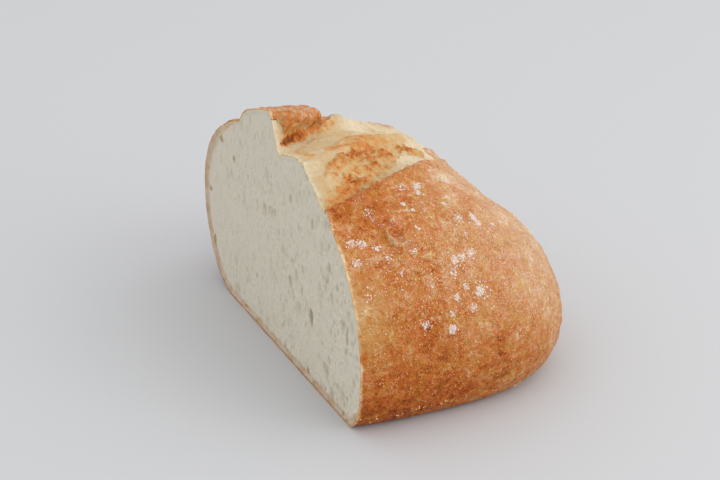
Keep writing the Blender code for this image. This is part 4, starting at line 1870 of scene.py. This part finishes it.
@dataclass
class Studio:
    """A plain pale floor, soft light and the camera."""

    place: Vector
    camera_at: Triple = (-161.8 * MM, -366.9 * MM, 229.0 * MM)
    turn: float = math.radians(-24.26)
    tilt: float = math.radians(23.5)
    lens: float = 85.0
    floor_colour: Colour = (0.545, 0.549, 0.558)
    sky: float = 1.02
    lamps: tuple[tuple[str, float, float, Triple], ...] = (
        ("Window", 2.2, 1.0, (0.9, -0.1, 1.15)),
        ("Reflector", 4.1, 0.8, (0.5, -0.85, 0.55)),
    )

    def floor(self) -> None:
        """Lays the floor."""
        shell = bmesh.new()
        bmesh.ops.create_grid(shell, x_segments=1, y_segments=1, size=2.0)
        mesh = bpy.data.meshes.new("floor")
        shell.to_mesh(mesh)
        shell.free()
        surface = Surface("Floor")
        mesh.materials.append(surface.finish(self.floor_colour, 0.8, None, 0.2))
        floor = bpy.data.objects.new("floor", mesh)
        bpy.context.scene.collection.objects.link(floor)

    def light(self) -> None:
        """Sets the soft light from the upper right and behind, and an even surrounding light."""
        scene = bpy.context.scene
        world = bpy.data.worlds.new("Room light")
        world.use_nodes = True
        world.node_tree.nodes["Background"].inputs["Color"].default_value = (0.98, 0.985, 1.0, 1.0)
        world.node_tree.nodes["Background"].inputs["Strength"].default_value = self.sky
        scene.world = world
        for name, power, size, spot in self.lamps:
            lamp = bpy.data.lights.new(name, "AREA")
            lamp.shape = "SQUARE"
            lamp.size = size
            lamp.energy = power
            lamp.color = (1.0, 0.985, 0.965)
            panel = bpy.data.objects.new(name, lamp)
            panel.location = spot
            aim = Vector((0.0, 0.0, 0.03)) - Vector(spot)
            panel.rotation_euler = aim.to_track_quat("-Z", "Y").to_euler()
            scene.collection.objects.link(panel)

    def camera(self) -> None:
        """Sets the camera."""
        a, e = self.turn, self.tilt
        back = Vector((math.sin(a) * math.cos(e), -math.cos(a) * math.cos(e), math.sin(e)))
        right = Vector((math.cos(a), math.sin(a), 0.0))
        up = back.cross(right)
        turn = Matrix((right, up, back)).transposed().to_4x4()
        data = bpy.data.cameras.new("Camera")
        data.lens = self.lens
        data.sensor_width = 36.0
        camera = bpy.data.objects.new("Camera", data)
        camera.matrix_world = Matrix.Translation(Vector(self.camera_at) + self.place) @ turn
        bpy.context.scene.collection.objects.link(camera)
        bpy.context.scene.camera = camera

    def build(self) -> None:
        """Sets up the whole studio."""
        self.floor()
        self.light()
        self.camera()
        bpy.context.scene.view_settings.view_transform = "Standard"
        bpy.context.scene.view_settings.look = "None"


def main() -> None:
    """Builds the roll piece by piece, then the studio."""
    logging.basicConfig(level=logging.INFO, format="%(message)s")
    place = Vector((SOLID_BOX[0].x, ACROSS_SHIFT, 0.0))
    recess = Recess()
    crust = Crust(RollShape(), place, recess)
    baked = crust.build()
    Crumb(crust.outline, recess, place).build()
    micro_blisters(baked, place).build()
    flour_grains(baked, place).build()
    semolina_grains(baked, place).build()
    Studio(place).build()


if __name__ == "__main__":
    main()
